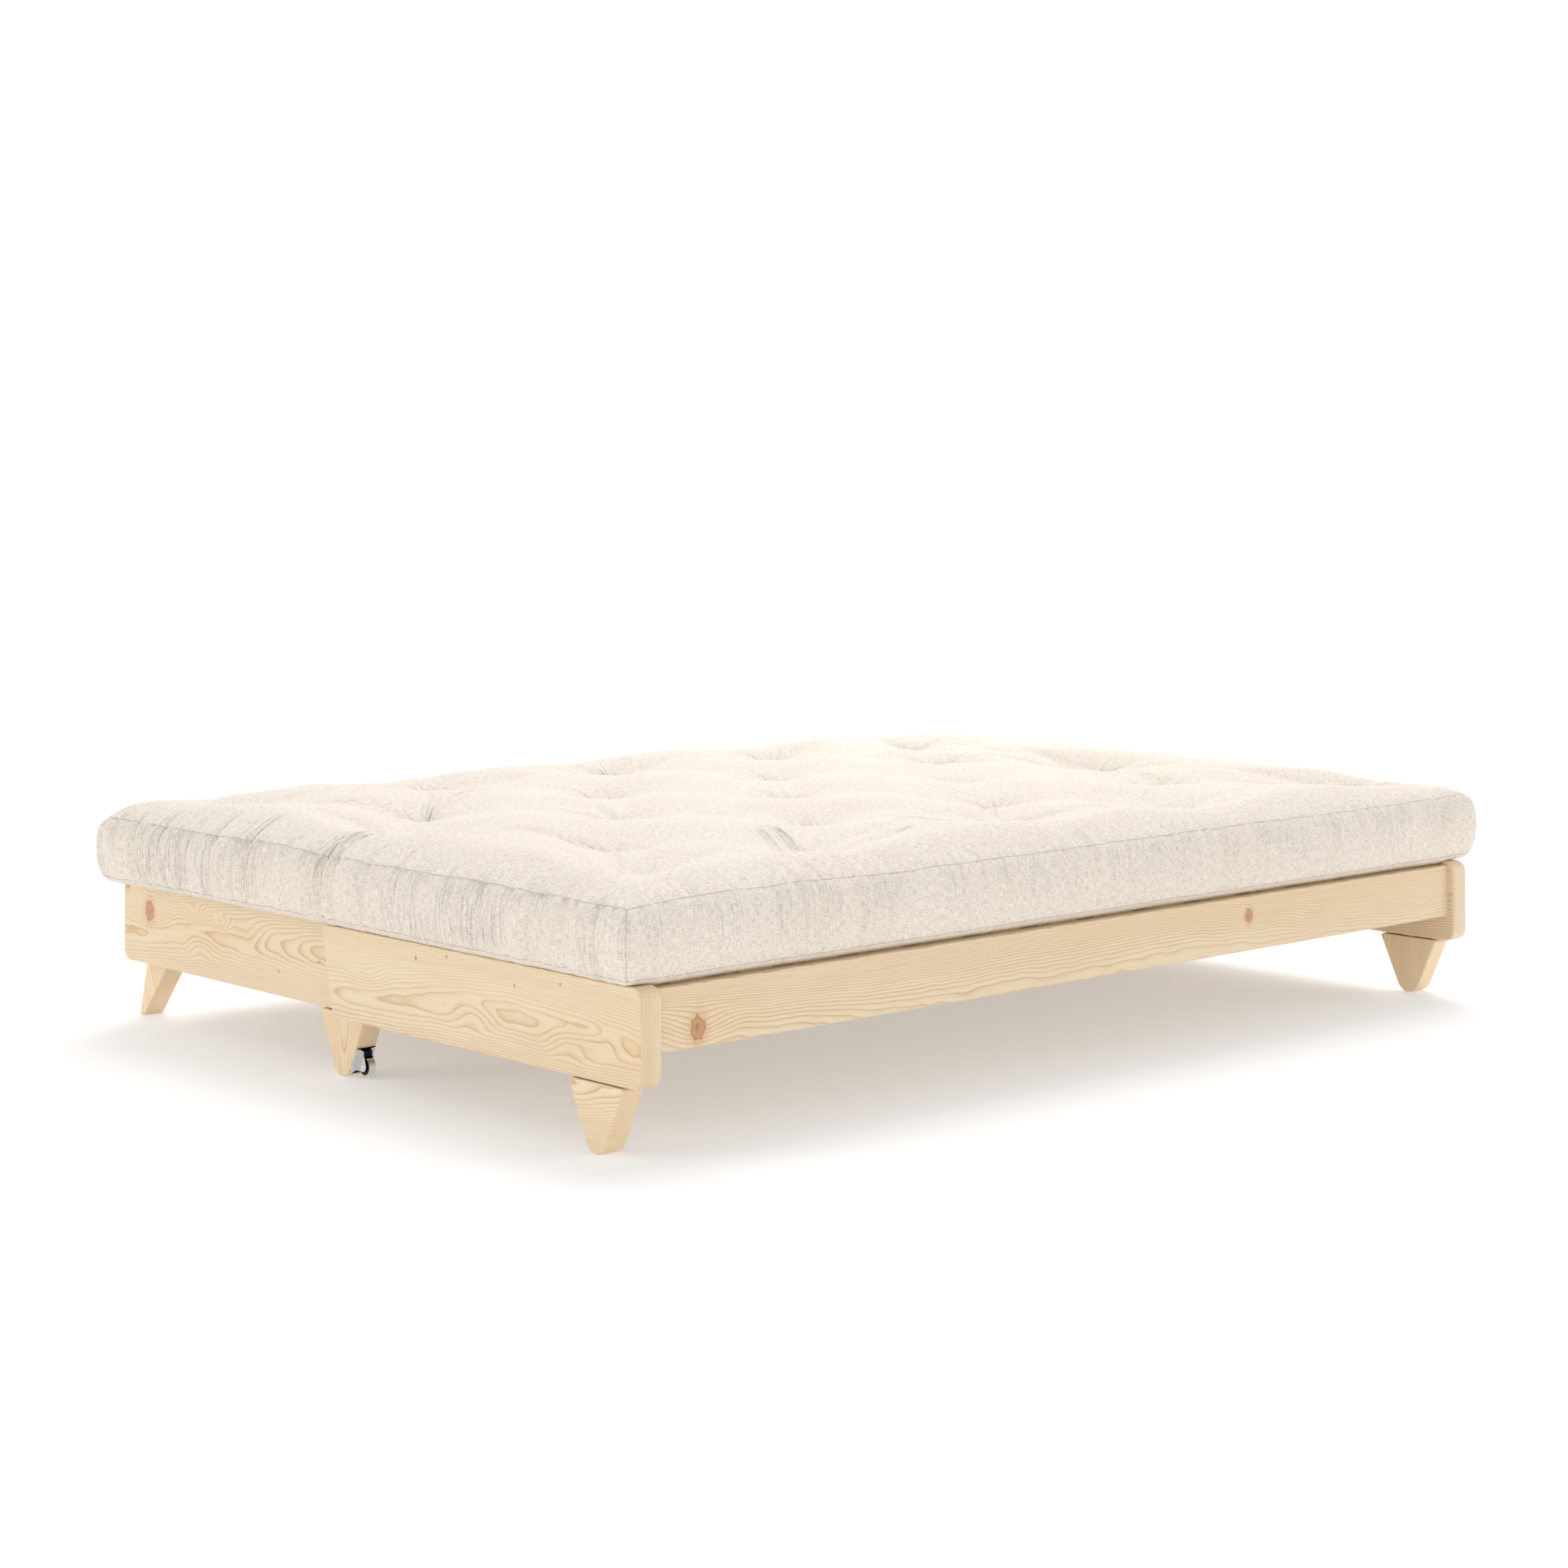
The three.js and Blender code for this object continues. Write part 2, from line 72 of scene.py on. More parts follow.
# The filling pushes three corners out and up a little: place of the corner, push
CORNER_PUSH = (
    ((-1.000, 0.703), (-0.009, 0.011, 0.006)), ((1.018, -0.729), (0.009, -0.004, 0.009)),
    ((1.018, 0.703), (0.006, 0.005, 0.003)),
)
CROWN = 0.021
CROWN_RUN = 0.085
TUFT_Z = 0.360
TUFT_RADIUS = 0.05
SHOULDER_REACH = 0.05
SHOULDER_PASSES = 6
TUFTS = (
    (-0.820, -0.545), (-0.486, -0.570), (-0.010, -0.533), (0.363, -0.577), (0.873, -0.572),
    (-0.700, -0.330), (-0.245, -0.300), (0.190, -0.318), (0.640, -0.305),
    (-0.844, 0.028), (-0.430, -0.020), (-0.020, 0.010), (0.400, -0.015), (0.783, -0.010),
    (-0.679, 0.212), (-0.240, 0.255), (0.180, 0.262), (0.610, 0.250),
    (-0.831, 0.560), (-0.420, 0.535), (0.000, 0.530), (0.420, 0.525), (0.800, 0.530),
)
THREAD_RADIUS = 0.0007

# Cloth simulation: its settings and length, the share of its movement that the side band keeps,
# how far in from the edge the top is held, and the furthest a point may move
CLOTH = {
    "quality": 5, "mass": 0.3, "tension_stiffness": 15, "compression_stiffness": 15,
    "shear_stiffness": 5, "bending_stiffness": 0.02, "tension_damping": 5,
    "compression_damping": 5, "shear_damping": 5, "bending_damping": 0.5, "use_pressure": True,
    "uniform_pressure_force": 1.6, "vertex_group_mass": "pin", "pin_stiffness": 1.0,
    "vertex_group_shrink": "side", "shrink_min": -0.003, "shrink_max": -0.03,
}
SIM_FRAMES = 20
SIDE_FREEDOM = 0.22
EDGE_HOLD = 0.10
MOVE_CAP = 0.020

# Where the underside rests: on the slats, over the front rail and past the boards
RAIL_BACK_Y = -0.711
SEAT_BOARD_INNER_X = 0.9505
OVER_RAIL_Z = 0.2456
SEAT_BOARD_END_Y = 0.060
BACK_BOARD_OUTER_X = 0.950
SEAT_BOARD_OUTER_X = 0.9905
OVERHANG_Z = 0.2450

# Uneven filling: height, step, seed
TOP_SWELLS = ((0.0022, 0.16, 31), (0.0012, 0.07, 32))
SIDE_SWELL = (0.0020, 0.11, 33)
SEAM_SAGS = ((0.0042, 0.21, 40), (0.0012, 0.06, 41))
SEAM_PULL = 0.0015
RAIL_SAG = 0.0034
RIGHT_SAG = 0.006

# Small puckers along the seams: their strength on the front, right, rear and left edge
PUCKER_STRENGTH = (0.60, 0.75, 0.75, 1.0)
NARROW_PUCKER = 0.0075
BROAD_PUCKER = 0.0065

# Dimple and folds at each tuft
DIMPLE_DEPTH, DIMPLE_RADIUS = 0.0050, 0.015
TUFT_FOLDS = 4
TUFT_FOLD_LENGTH = (0.06, 0.15)
TUFT_FOLD_DEPTH = (0.0020, 0.0044)
TUFT_FOLD_WIDTH = 0.0075

# Strong puckers across the edge: edge (0 front, 1 right, 2 rear, 3 left), x or y on it, depth,
# half width, lean
DEEP_PUCKERS = (
    (3, 0.030, 0.0060, 0.0075, 0.012), (3, 0.002, 0.0048, 0.0065, 0.006), (3, 0.062, 0.0034, 0.0070, 0.01),
    (3, 0.255, 0.0050, 0.0070, 0.010), (3, 0.292, 0.0036, 0.0065, 0.004), (3, 0.360, 0.0046, 0.0070, 0.008),
    (3, 0.418, 0.0034, 0.0065, -0.004), (3, 0.520, 0.0042, 0.0075, 0.006), (3, 0.600, 0.0032, 0.0070, 0.0),
    (3, 0.625, 0.0030, 0.0065, 0.004), (3, -0.130, 0.0026, 0.0080, 0.006), (3, -0.260, 0.0024, 0.0090, 0.0),
    (0, -0.670, 0.0036, 0.0070, 0.004), (0, -0.628, 0.0030, 0.0065, 0.0), (0, -0.120, 0.0026, 0.0070, 0.004),
    (0, 0.300, 0.0026, 0.0070, 0.0), (0, 0.690, 0.0040, 0.0070, 0.004), (0, 0.725, 0.0026, 0.0065, 0.0),
    (1, -0.250, 0.0036, 0.0070, 0.0), (1, 0.200, 0.0040, 0.0075, 0.004), (2, 0.500, 0.0034, 0.0070, 0.0),
    (2, -0.300, 0.0036, 0.0070, 0.004),
)

# Folds in the cover: (start, end, depth, half width), metres
LONG_CREASES = (
    ((-0.414, -0.396), (-0.500, -0.575), 0.0068, 0.008),
    ((-0.455, -0.400), (-0.530, -0.560), 0.0047, 0.007),
    ((-0.486, -0.590), (-0.300, -0.570), 0.0054, 0.010),
    ((-0.300, -0.570), (-0.130, -0.520), 0.0038, 0.012),
    ((0.163, -0.317), (0.015, -0.497), 0.0054, 0.009),
    ((0.015, -0.497), (-0.080, -0.610), 0.0074, 0.007),
    ((-0.010, -0.520), (-0.200, -0.440), 0.0038, 0.012),
    ((-0.679, 0.212), (-0.534, 0.402), 0.0054, 0.009),
    ((-0.679, 0.212), (-0.533, 0.318), 0.0046, 0.008),
    ((-0.679, 0.212), (-0.720, 0.400), 0.0038, 0.010),
    ((-0.533, 0.318), (-0.270, 0.423), 0.0041, 0.012),
    ((-0.700, -0.330), (-0.711, -0.180), 0.0054, 0.010),
    ((-0.700, -0.330), (-0.640, -0.470), 0.0054, 0.010),
    ((-0.820, -0.545), (-0.920, -0.470), 0.0041, 0.009),
    ((0.363, -0.577), (0.200, -0.508), 0.0041, 0.009),
    ((0.783, -0.010), (0.640, -0.046), 0.0041, 0.009),
    ((-0.960, 0.045), (-0.890, 0.010), 0.0068, 0.008),
    ((-0.965, 0.010), (-0.880, -0.030), 0.0057, 0.008),
)

# Sharp folds over the seam, ten at the left and two at the front: (way round the seam, distance in
# from it) at each end, depth
SEAM_FOLDS = (
    ((2.688, 0.095), (2.694, -0.110), 0.0042), ((2.706, 0.085), (2.708, -0.100), 0.0036),
    ((2.670, 0.070), (2.679, -0.085), 0.0030), ((2.724, 0.060), (2.719, -0.070), 0.0022),
    ((2.466, 0.070), (2.470, -0.095), 0.0036), ((2.428, 0.055), (2.432, -0.085), 0.0028),
    ((2.360, 0.050), (2.364, -0.080), 0.0024), ((2.300, 0.030), (2.304, -0.085), 0.0018),
    ((2.200, 0.035), (2.203, -0.080), 0.0022), ((2.120, 0.030), (2.118, -0.085), 0.0018),
    ((3.830, 0.050), (3.834, -0.060), 0.0020), ((4.440, 0.045), (4.444, -0.050), 0.0020),
)
SHARP_SHARE = 0.68
FOLD_WIDTH = 0.0078
FOLD_REACH = 0.018
# The side band is marked as if it lay this far away, so that the top's folds don't cross it
OUT_OF_REACH = 50.0

# Planes of the futon's bend over the hinge; here they only shape the room under it at the hinge
FOLD_START = (0.0, -0.264, 0.30)
FOLD_END = (0.0, 0.256, 0.30)
HINGE_Y, HINGE_Z = -0.004, 0.150
FOLD_ANGLE = math.radians(75.0)

# Its underside sags between the slats
SLAT_COUNT = 14
SLAT_PITCH = 0.1344
SLAT_WIDTH = 0.062
SLAT_SAG = 0.011
SLAT_CLEARANCE = 0.003
SAG_MIDDLE_Y = -0.0085
SAG_HALF_RUN = 0.6955
SAG_END_RUN = 0.004
# The underside is flat over the boards, out from BOARD_EDGE_X, and free inside SLATS_EDGE_X
BOARD_EDGE_X = 0.957
SLATS_EDGE_X = 0.912


def add_object(name, data):
    added = bpy.data.objects.new(name, data)
    bpy.context.scene.collection.objects.link(added)
    return added


# ---------- material helpers ----------

def new_material(name):
    material = bpy.data.materials.new(name)
    material.use_nodes = True
    tree = material.node_tree
    tree.nodes.clear()
    output = tree.nodes.new("ShaderNodeOutputMaterial")
    shader = tree.nodes.new("ShaderNodeBsdfPrincipled")
    tree.links.new(shader.outputs["BSDF"], output.inputs["Surface"])
    return material, tree, shader


def math_node(tree, operation, a, b=None, c=None, clamp=False):
    node = tree.nodes.new("ShaderNodeMath")
    node.operation = operation
    node.use_clamp = clamp
    for socket, value in zip(node.inputs, (a, b, c)):
        if value is None:
            continue
        if isinstance(value, (int, float)):
            socket.default_value = value
        else:
            tree.links.new(value, socket)
    return node.outputs[0]


def times(tree, a, b):
    return math_node(tree, "MULTIPLY", a, b)


def hypotenuse(tree, a, b):
    return math_node(tree, "SQRT", math_node(tree, "ADD", times(tree, a, a), times(tree, b, b)))


def swing(tree, value, size, base):
    """base, moved to and fro by a noise value that runs about 0.5."""
    return math_node(tree, "MULTIPLY_ADD", math_node(tree, "SUBTRACT", value, 0.5), size, base)


def vector_node(tree, operation, vector, second=None):
    node = tree.nodes.new("ShaderNodeVectorMath")
    node.operation = operation
    tree.links.new(vector, node.inputs[0])
    if second is not None:
        node.inputs[1].default_value = second
    return node


def smooth_range(tree, value, low, high, out_low=0.0, out_high=1.0):
    node = tree.nodes.new("ShaderNodeMapRange")
    node.interpolation_type = "SMOOTHSTEP"
    tree.links.new(value, node.inputs["Value"])
    node.inputs["From Min"].default_value = low
    node.inputs["From Max"].default_value = high
    node.inputs["To Min"].default_value = out_low
    node.inputs["To Max"].default_value = out_high
    return node.outputs["Result"]


def noise(tree, vector, scale, detail=2.0, roughness=0.5, stretch=None, distortion=0.0):
    if stretch is not None:
        vector = vector_node(tree, "MULTIPLY", vector, stretch).outputs[0]
    node = tree.nodes.new("ShaderNodeTexNoise")
    tree.links.new(vector, node.inputs["Vector"])
    node.inputs["Scale"].default_value = scale
    node.inputs["Detail"].default_value = detail
    node.inputs["Roughness"].default_value = roughness
    node.inputs["Distortion"].default_value = distortion
    return node.outputs["Fac"]


def ramp(tree, value, stops):
    node = tree.nodes.new("ShaderNodeValToRGB")
    tree.links.new(value, node.inputs["Fac"])
    elements = node.color_ramp.elements
    while len(elements) < len(stops):
        elements.new(0.5)
    for element, (place, colour) in zip(elements, stops):
        element.position = place
        element.color = (*colour, 1.0)
    return node.outputs["Color"]


def mix_colour(tree, kind, factor, a, b):
    node = tree.nodes.new("ShaderNodeMix")
    node.data_type = "RGBA"
    node.blend_type = kind
    for socket, value in ((node.inputs["Factor"], factor), (node.inputs[6], a), (node.inputs[7], b)):
        if isinstance(value, (int, float)):
            socket.default_value = value
        elif isinstance(value, tuple):
            socket.default_value = (*value, 1.0)
        else:
            tree.links.new(value, socket)
    return node.outputs[2]


def tinted(tree, colour, value, span, amount, tone, kind="MULTIPLY"):
    """The colour with a tone laid over it where value goes across span, up to amount."""
    return mix_colour(tree, kind, smooth_range(tree, value, *span, 0.0, amount), colour, tone)


def bump(tree, height, distance, strength=1.0, normal=None):
    node = tree.nodes.new("ShaderNodeBump")
    tree.links.new(height, node.inputs["Height"])
    node.inputs["Distance"].default_value = distance
    node.inputs["Strength"].default_value = strength
    if normal is not None:
        tree.links.new(normal, node.inputs["Normal"])
    return node.outputs["Normal"]


def distance_from(tree, vector, place, scale):
    """Distance of a coordinate from a place, with each axis scaled."""
    offset = vector_node(tree, "SUBTRACT", vector, place)
    return vector_node(tree, "LENGTH", vector_node(tree, "MULTIPLY", offset.outputs[0], scale)
                       .outputs[0]).outputs["Value"]


# ---------- pine ----------

PINE_EARLY = (0.805, 0.668, 0.475)
PINE_LATE = (0.60, 0.355, 0.155)
PINE_KNOT = (0.42, 0.20, 0.085)


def pine(name, along, pith, seed, face=0.0, knots=(), eyes=(), slats=False, tilt=(0.02, 0.015),
         tone=1.0, rings=5.2):
    """Pine with its grain along an axis. pith is the ring centre in the other two axes' frame.
    Knots and eyes lie on the face at that coordinate: place along the grain, height, size, pull."""
    material, tree, shader = new_material(name)
    coords = tree.nodes.new("ShaderNodeTexCoord").outputs["Object"]
    split = tree.nodes.new("ShaderNodeSeparateXYZ")
    tree.links.new(coords, split.inputs[0])
    order = {"X": (0, 1, 2), "Y": (1, 0, 2), "Z": (2, 0, 1)}[along]
    u, v, w = (split.outputs[i] for i in order)
    if slats:
        # every slat is cut from another part of the tree
        index = math_node(tree, "FLOOR", math_node(tree, "DIVIDE", split.outputs[0], SLAT_PITCH))
        side = math_node(tree, "SIGN", split.outputs[1])
        white = tree.nodes.new("ShaderNodeTexWhiteNoise")
        white.noise_dimensions = "1D"
        key = math_node(tree, "MULTIPLY_ADD", side, 40.0, index)
        tree.links.new(key, white.inputs["W"])
        v = math_node(tree, "SUBTRACT", v, times(tree, index, SLAT_PITCH))
        u = math_node(tree, "ADD", u, times(tree, white.outputs["Value"], 9.0))
    grain = tree.nodes.new("ShaderNodeCombineXYZ")
    for socket, value in zip(grain.inputs, (u, v, w)):
        tree.links.new(value, socket)
    place = vector_node(tree, "ADD", grain.outputs[0], (seed * 1.7, seed * 0.31, seed * 0.53)).outputs[0]

    # slow wander of the pith along the board
    wander_v = noise(tree, place, 1.0, 1.0, 0.4, (0.9, 0.3, 0.3))
    wander_w = noise(tree, place, 1.0, 1.0, 0.4, (1.3, 0.4, 0.2))
    fine_wave = noise(tree, place, 1.0, 2.0, 0.5, (6.0, 10.0, 10.0))
    dv = swing(tree, wander_v, 0.07, math_node(tree, "SUBTRACT", v, pith[0]))
    dv = math_node(tree, "MULTIPLY_ADD", u, tilt[0], dv)
    dw = swing(tree, wander_w, 0.08, math_node(tree, "SUBTRACT", w, pith[1]))
    dw = math_node(tree, "MULTIPLY_ADD", u, tilt[1], dw)
    radius = swing(tree, fine_wave, 0.009, hypotenuse(tree, dv, dw))
    curl = noise(tree, place, 1.0, 1.0, 0.5, (17.0, 28.0, 28.0))
    radius = swing(tree, curl, 0.0028, radius)

    # the rings flow round knots and eyes
    knot_masks = []
    for along_grain, up, size, strength in tuple(knots) + tuple(eyes):
        away = distance_from(tree, grain.outputs[0], (along_grain, face, up), (0.42, 0.35, 1.0))
        radius = math_node(tree, "ADD", radius, smooth_range(tree, away, 0.0, size * 3.2, strength, 0.0))
    for along_grain, up, size, _ in knots:
        away = distance_from(tree, grain.outputs[0], (along_grain, face, up), (1.0, 0.25, 0.78))
        knot_masks.append((away, size))

    # late wood builds up slowly and ends sharply at each ring
    age = math_node(tree, "POWER", math_node(tree, "DIVIDE", radius, 0.030), 1.35)
    ring = math_node(tree, "FRACT", times(tree, age, rings))
    width = noise(tree, place, 1.0, 1.0, 0.5, (0.6, 30.0, 30.0))
    late = ramp(tree, ring, ((0.0, (0.40,) * 3), (0.10, (0.0,) * 3), (0.50, (0.05,) * 3),
                             (0.80, (0.42,) * 3), (0.94, (1.0,) * 3)))
    late = times(tree, late, smooth_range(tree, width, 0.3, 0.7, 0.38, 0.86))
    early, late_wood = (tuple(min(1.0, c * tone) for c in base) for base in (PINE_EARLY, PINE_LATE))
    colour = mix_colour(tree, "MIX", late, early, late_wood)

    # broad colour drift, fine fibres and a few resin flecks
    drift = noise(tree, place, 1.0, 2.0, 0.5, (1.6, 9.0, 9.0))
    colour = tinted(tree, colour, drift, (0.3, 0.75), 0.9, (0.985, 0.94, 0.87))
    fibre = noise(tree, place, 1.0, 3.0, 0.6, (14.0, 520.0, 520.0))
    colour = tinted(tree, colour, fibre, (0.42, 0.75), 0.75, (0.93, 0.86, 0.76))
    fleck = noise(tree, place, 1.0, 1.0, 0.5, (55.0, 210.0, 210.0))
    colour = tinted(tree, colour, fleck, (0.80, 0.86), 0.55, (0.50, 0.27, 0.12), "MIX")
    ragged = noise(tree, place, 1.0, 2.0, 0.6, (110.0, 110.0, 110.0))
    for distance, size in knot_masks:
        wobble = swing(tree, ragged, size * 1.1, distance)
        halo = smooth_range(tree, wobble, size * 0.8, size * 2.3, 0.6, 0.0)
        colour = mix_colour(tree, "MIX", halo, colour, (0.64, 0.38, 0.18))
        core = smooth_range(tree, wobble, size * 0.95, size * 1.15, 1.0, 0.0)
        share = math_node(tree, "DIVIDE", wobble, size * 1.15)
        rim = ramp(tree, share, ((0.05, (0.40, 0.19, 0.08)), (0.35, (0.54, 0.29, 0.13)),
                                 (0.66, (0.56, 0.31, 0.14)), (0.84, PINE_KNOT),
                                 (1.0, (0.52, 0.28, 0.125))))
        colour = mix_colour(tree, "MIX", core, colour, rim)

    tree.links.new(colour, shader.inputs["Base Color"])
    rough = smooth_range(tree, fibre, 0.3, 0.8, 0.36, 0.50)
    tree.links.new(rough, shader.inputs["Roughness"])
    shader.inputs["Coat Weight"].default_value = 0.12
    shader.inputs["Coat Roughness"].default_value = 0.28
    grooves = math_node(tree, "MULTIPLY_ADD", late, 0.5, fibre)
    tree.links.new(bump(tree, grooves, 0.00035, 0.55), shader.inputs["Normal"])
    return material


def paint(node_names, material):
    for name in node_names:
        mesh_object = nodes[name]
        mesh_object.data.materials.clear()
        mesh_object.data.materials.append(material)


def repaint(name, material, chosen):
    """A second material on the faces for which chosen(middle, normal) is true, in metres."""
    piece = nodes[name]
    piece.data.materials.append(material)
    index = len(piece.data.materials) - 1
    turn = piece.matrix_world.to_3x3()
    for face in piece.data.polygons:
        if chosen(piece.matrix_world @ face.center, (turn @ face.normal).normalized()):
            face.material_index = index


BOARDS = (
    ("seat_side_left", "seat_left", "Y", (-0.930, 0.156), 1.3, dict(
        tilt=(0.012, 0.02), face=-0.99,
        knots=((-0.205, 0.228, 0.0022, 0.002), (-0.565, 0.234, 0.0016, 0.001),
               (-0.455, 0.218, 0.0016, 0.001), (-0.285, 0.240, 0.0018, 0.001)),
        eyes=((-0.350, 0.158, 0.011, 0.010), (-0.590, 0.151, 0.011, 0.009),
              (-0.668, 0.160, 0.010, 0.009), (-0.555, 0.233, 0.011, 0.009),
              (-0.215, 0.240, 0.009, 0.007), (-0.640, 0.235, 0.008, 0.006),
              (-0.080, 0.184, 0.010, 0.006)))),
    ("seat_side_right", "seat_right", "Y", (1.045, 0.190), 4.1, {}),
    ("back_side_left", "back_left", "Y", (-0.900, 0.186), 2.2, dict(
        tilt=(-0.01, 0.03), face=-0.949,
        knots=((0.651, 0.200, 0.0130, 0.013), (0.728, 0.243, 0.008, 0.008),
               (0.240, 0.146, 0.0016, 0.001), (0.120, 0.176, 0.0018, 0.002)),
        eyes=((0.640, 0.228, 0.012, 0.008), (0.500, 0.214, 0.007, 0.009),
              (0.420, 0.206, 0.006, 0.008), (0.330, 0.200, 0.012, 0.007),
              (0.480, 0.158, 0.009, 0.006)))),
    ("back_side_right", "back_right", "Y", (0.985, 0.170), 5.6, {}),
    ("seat_front_rail", "front_rail", "X", (-0.680, 0.137), 6.4, dict(
        tilt=(0.0, 0.010), face=-0.7365, eyes=((0.55, 0.190, 0.013, 0.008),),
        knots=((-0.873, 0.180, 0.0135, 0.012), (0.375, 0.212, 0.009, 0.008)))),
    ("back_rear_rail", "rear_rail", "X", (0.690, 0.180), 7.7, dict(
        face=0.7265, knots=((0.45, 0.205, 0.009, 0.008),))),
    ("seat_rear_rail", "inner_seat_rail", "X", (-0.030, 0.160), 8.9, {}),
    ("back_front_rail", "inner_back_rail", "X", (0.030, 0.150), 9.6, {}),
)
for board, label, grain_axis, centre, number, features in BOARDS:
    paint([board], pine("pine_" + label, grain_axis, centre, number, **features))
# Legs: name, grain axis, place of the pith, seed, slope of the rings
LEG_GRAIN = (
    ("seat_leg_left", "Y", (-0.93, 0.04), 10.3, (0.02, 0.10)),
    ("seat_leg_right", "Z", (0.90, -0.60), 11.8, (0.02, 0.015)),
    ("middle_leg_left", "Z", (-0.89, 0.05), 12.2, (0.03, 0.05)),
    ("middle_leg_right", "Z", (0.89, 0.10), 13.4, (0.02, 0.015)),
    ("rear_leg_left", "Z", (-0.84, 0.70), 14.9, (0.02, -0.5)),
    ("rear_leg_right", "Z", (0.84, 0.70), 15.5, (0.02, -0.5)),
)
# Front faces of the legs: which, pith y, slope of the rings
LEG_FRONTS = (("seat", -0.70, -0.2), ("middle", 0.05, -0.3), ("rear", 0.62, -0.4))
# painted light: the legs' wood is made 6% lighter (tone 1.06) to stand in for light in the shade under the
# bed
for leg, grain_axis, centre, number, slope in LEG_GRAIN:
    paint([leg], pine("pine_" + leg, grain_axis, centre, number, tilt=slope, tone=1.06, rings=6.4))
for side, sign in (("left", -1), ("right", 1)):
    edge_grain = pine("pine_edge_" + side, "Z", (0.895 * sign, -0.70), 16.0 + sign, tilt=(0.0, 0.0),
                      rings=4.2)
    repaint("seat_side_" + side, edge_grain, lambda middle, normal: normal.y < -0.6)
    for leg, pith_y, slope in LEG_FRONTS:
        # painted light: the legs' front faces keep their own grain but are made 10% lighter (tone 1.10) to
        # stand in for light in the shade under the bed
        front_grain_painted_lighter = pine(f"pine_{leg}_leg_front_{side}", "Z", (0.895 * sign, pith_y), 20.0 + sign,
                           tilt=(0.0, slope), tone=1.10, rings=4.6)
        repaint(f"{leg}_leg_{side}", front_grain_painted_lighter, lambda middle, normal: normal.y < -0.4)
slat_names = [n for n in nodes if "_slat_" in n]
paint(slat_names, pine("pine_slats", "Y", (0.031, 0.180), 3.0, slats=True, tilt=(0.0, 0.01)))


# ---------- metal ----------

def metal(name, colour, low, high, scratch):
    material, tree, shader = new_material(name)
    coords = tree.nodes.new("ShaderNodeTexCoord").outputs["Object"]
    smudge = noise(tree, coords, 60.0, 3.0, 0.6)
    tree.links.new(smooth_range(tree, smudge, 0.3, 0.7, low, high), shader.inputs["Roughness"])
    tint = mix_colour(tree, "MIX", smudge, colour, tuple(0.9 * c for c in colour))
    tree.links.new(tint, shader.inputs["Base Color"])
    shader.inputs["Metallic"].default_value = 1.0
    lines = noise(tree, coords, 1.0, 2.0, 0.5, (900.0, 90.0, 900.0))
    tree.links.new(bump(tree, lines, scratch, 0.3), shader.inputs["Normal"])
    return material


chrome = metal("chrome", (0.82, 0.83, 0.85), 0.05, 0.12, 0.00002)
zinc = metal("zinc", (0.62, 0.63, 0.64), 0.28, 0.42, 0.00006)
black_and_shade = metal("castor_black_and_painted_shade", (0.02, 0.02, 0.022), 0.12, 0.22, 0.00002)
CASTOR_X = 0.9299
CHEEK_INNER_X = 0.0085
for side, sign in (("left", -1), ("right", 1)):
    paint([f"castor_bracket_{side}", f"castor_axle_{side}", f"castor_wheel_{side}"], chrome)
    middle_x = CASTOR_X * sign
    # painted shade: the bracket's faces between the cheeks (hood web, inner faces, plate) get the black
    # metal, standing for the shade and dark reflections inside the fork
    repaint(f"castor_bracket_{side}", black_and_shade,
            lambda middle, normal, at=middle_x: abs(middle.x - at) < CHEEK_INNER_X)
    # the wheel's side faces take the same black as the wheel's own dark core
    repaint(f"castor_wheel_{side}", black_and_shade, lambda middle, normal: abs(normal.x) > 0.9)
    paint([f"seat_leg_stud_{side}", f"middle_leg_stud_{side}", f"pivot_bolt_{side}",
           f"pivot_washer_{side}"], zinc)


# ---------- linen ----------

def point_value(tree, name):
    node = tree.nodes.new("ShaderNodeAttribute")
    node.attribute_name = name
    return node.outputs


def point_vector(tree, name):
    parts = tree.nodes.new("ShaderNodeSeparateXYZ")
    tree.links.new(point_value(tree, name)["Vector"], parts.inputs[0])
    return parts.outputs


def uv_place(tree, layer):
    node = tree.nodes.new("ShaderNodeUVMap")
    node.uv_map = layer
    return node.outputs["UV"]


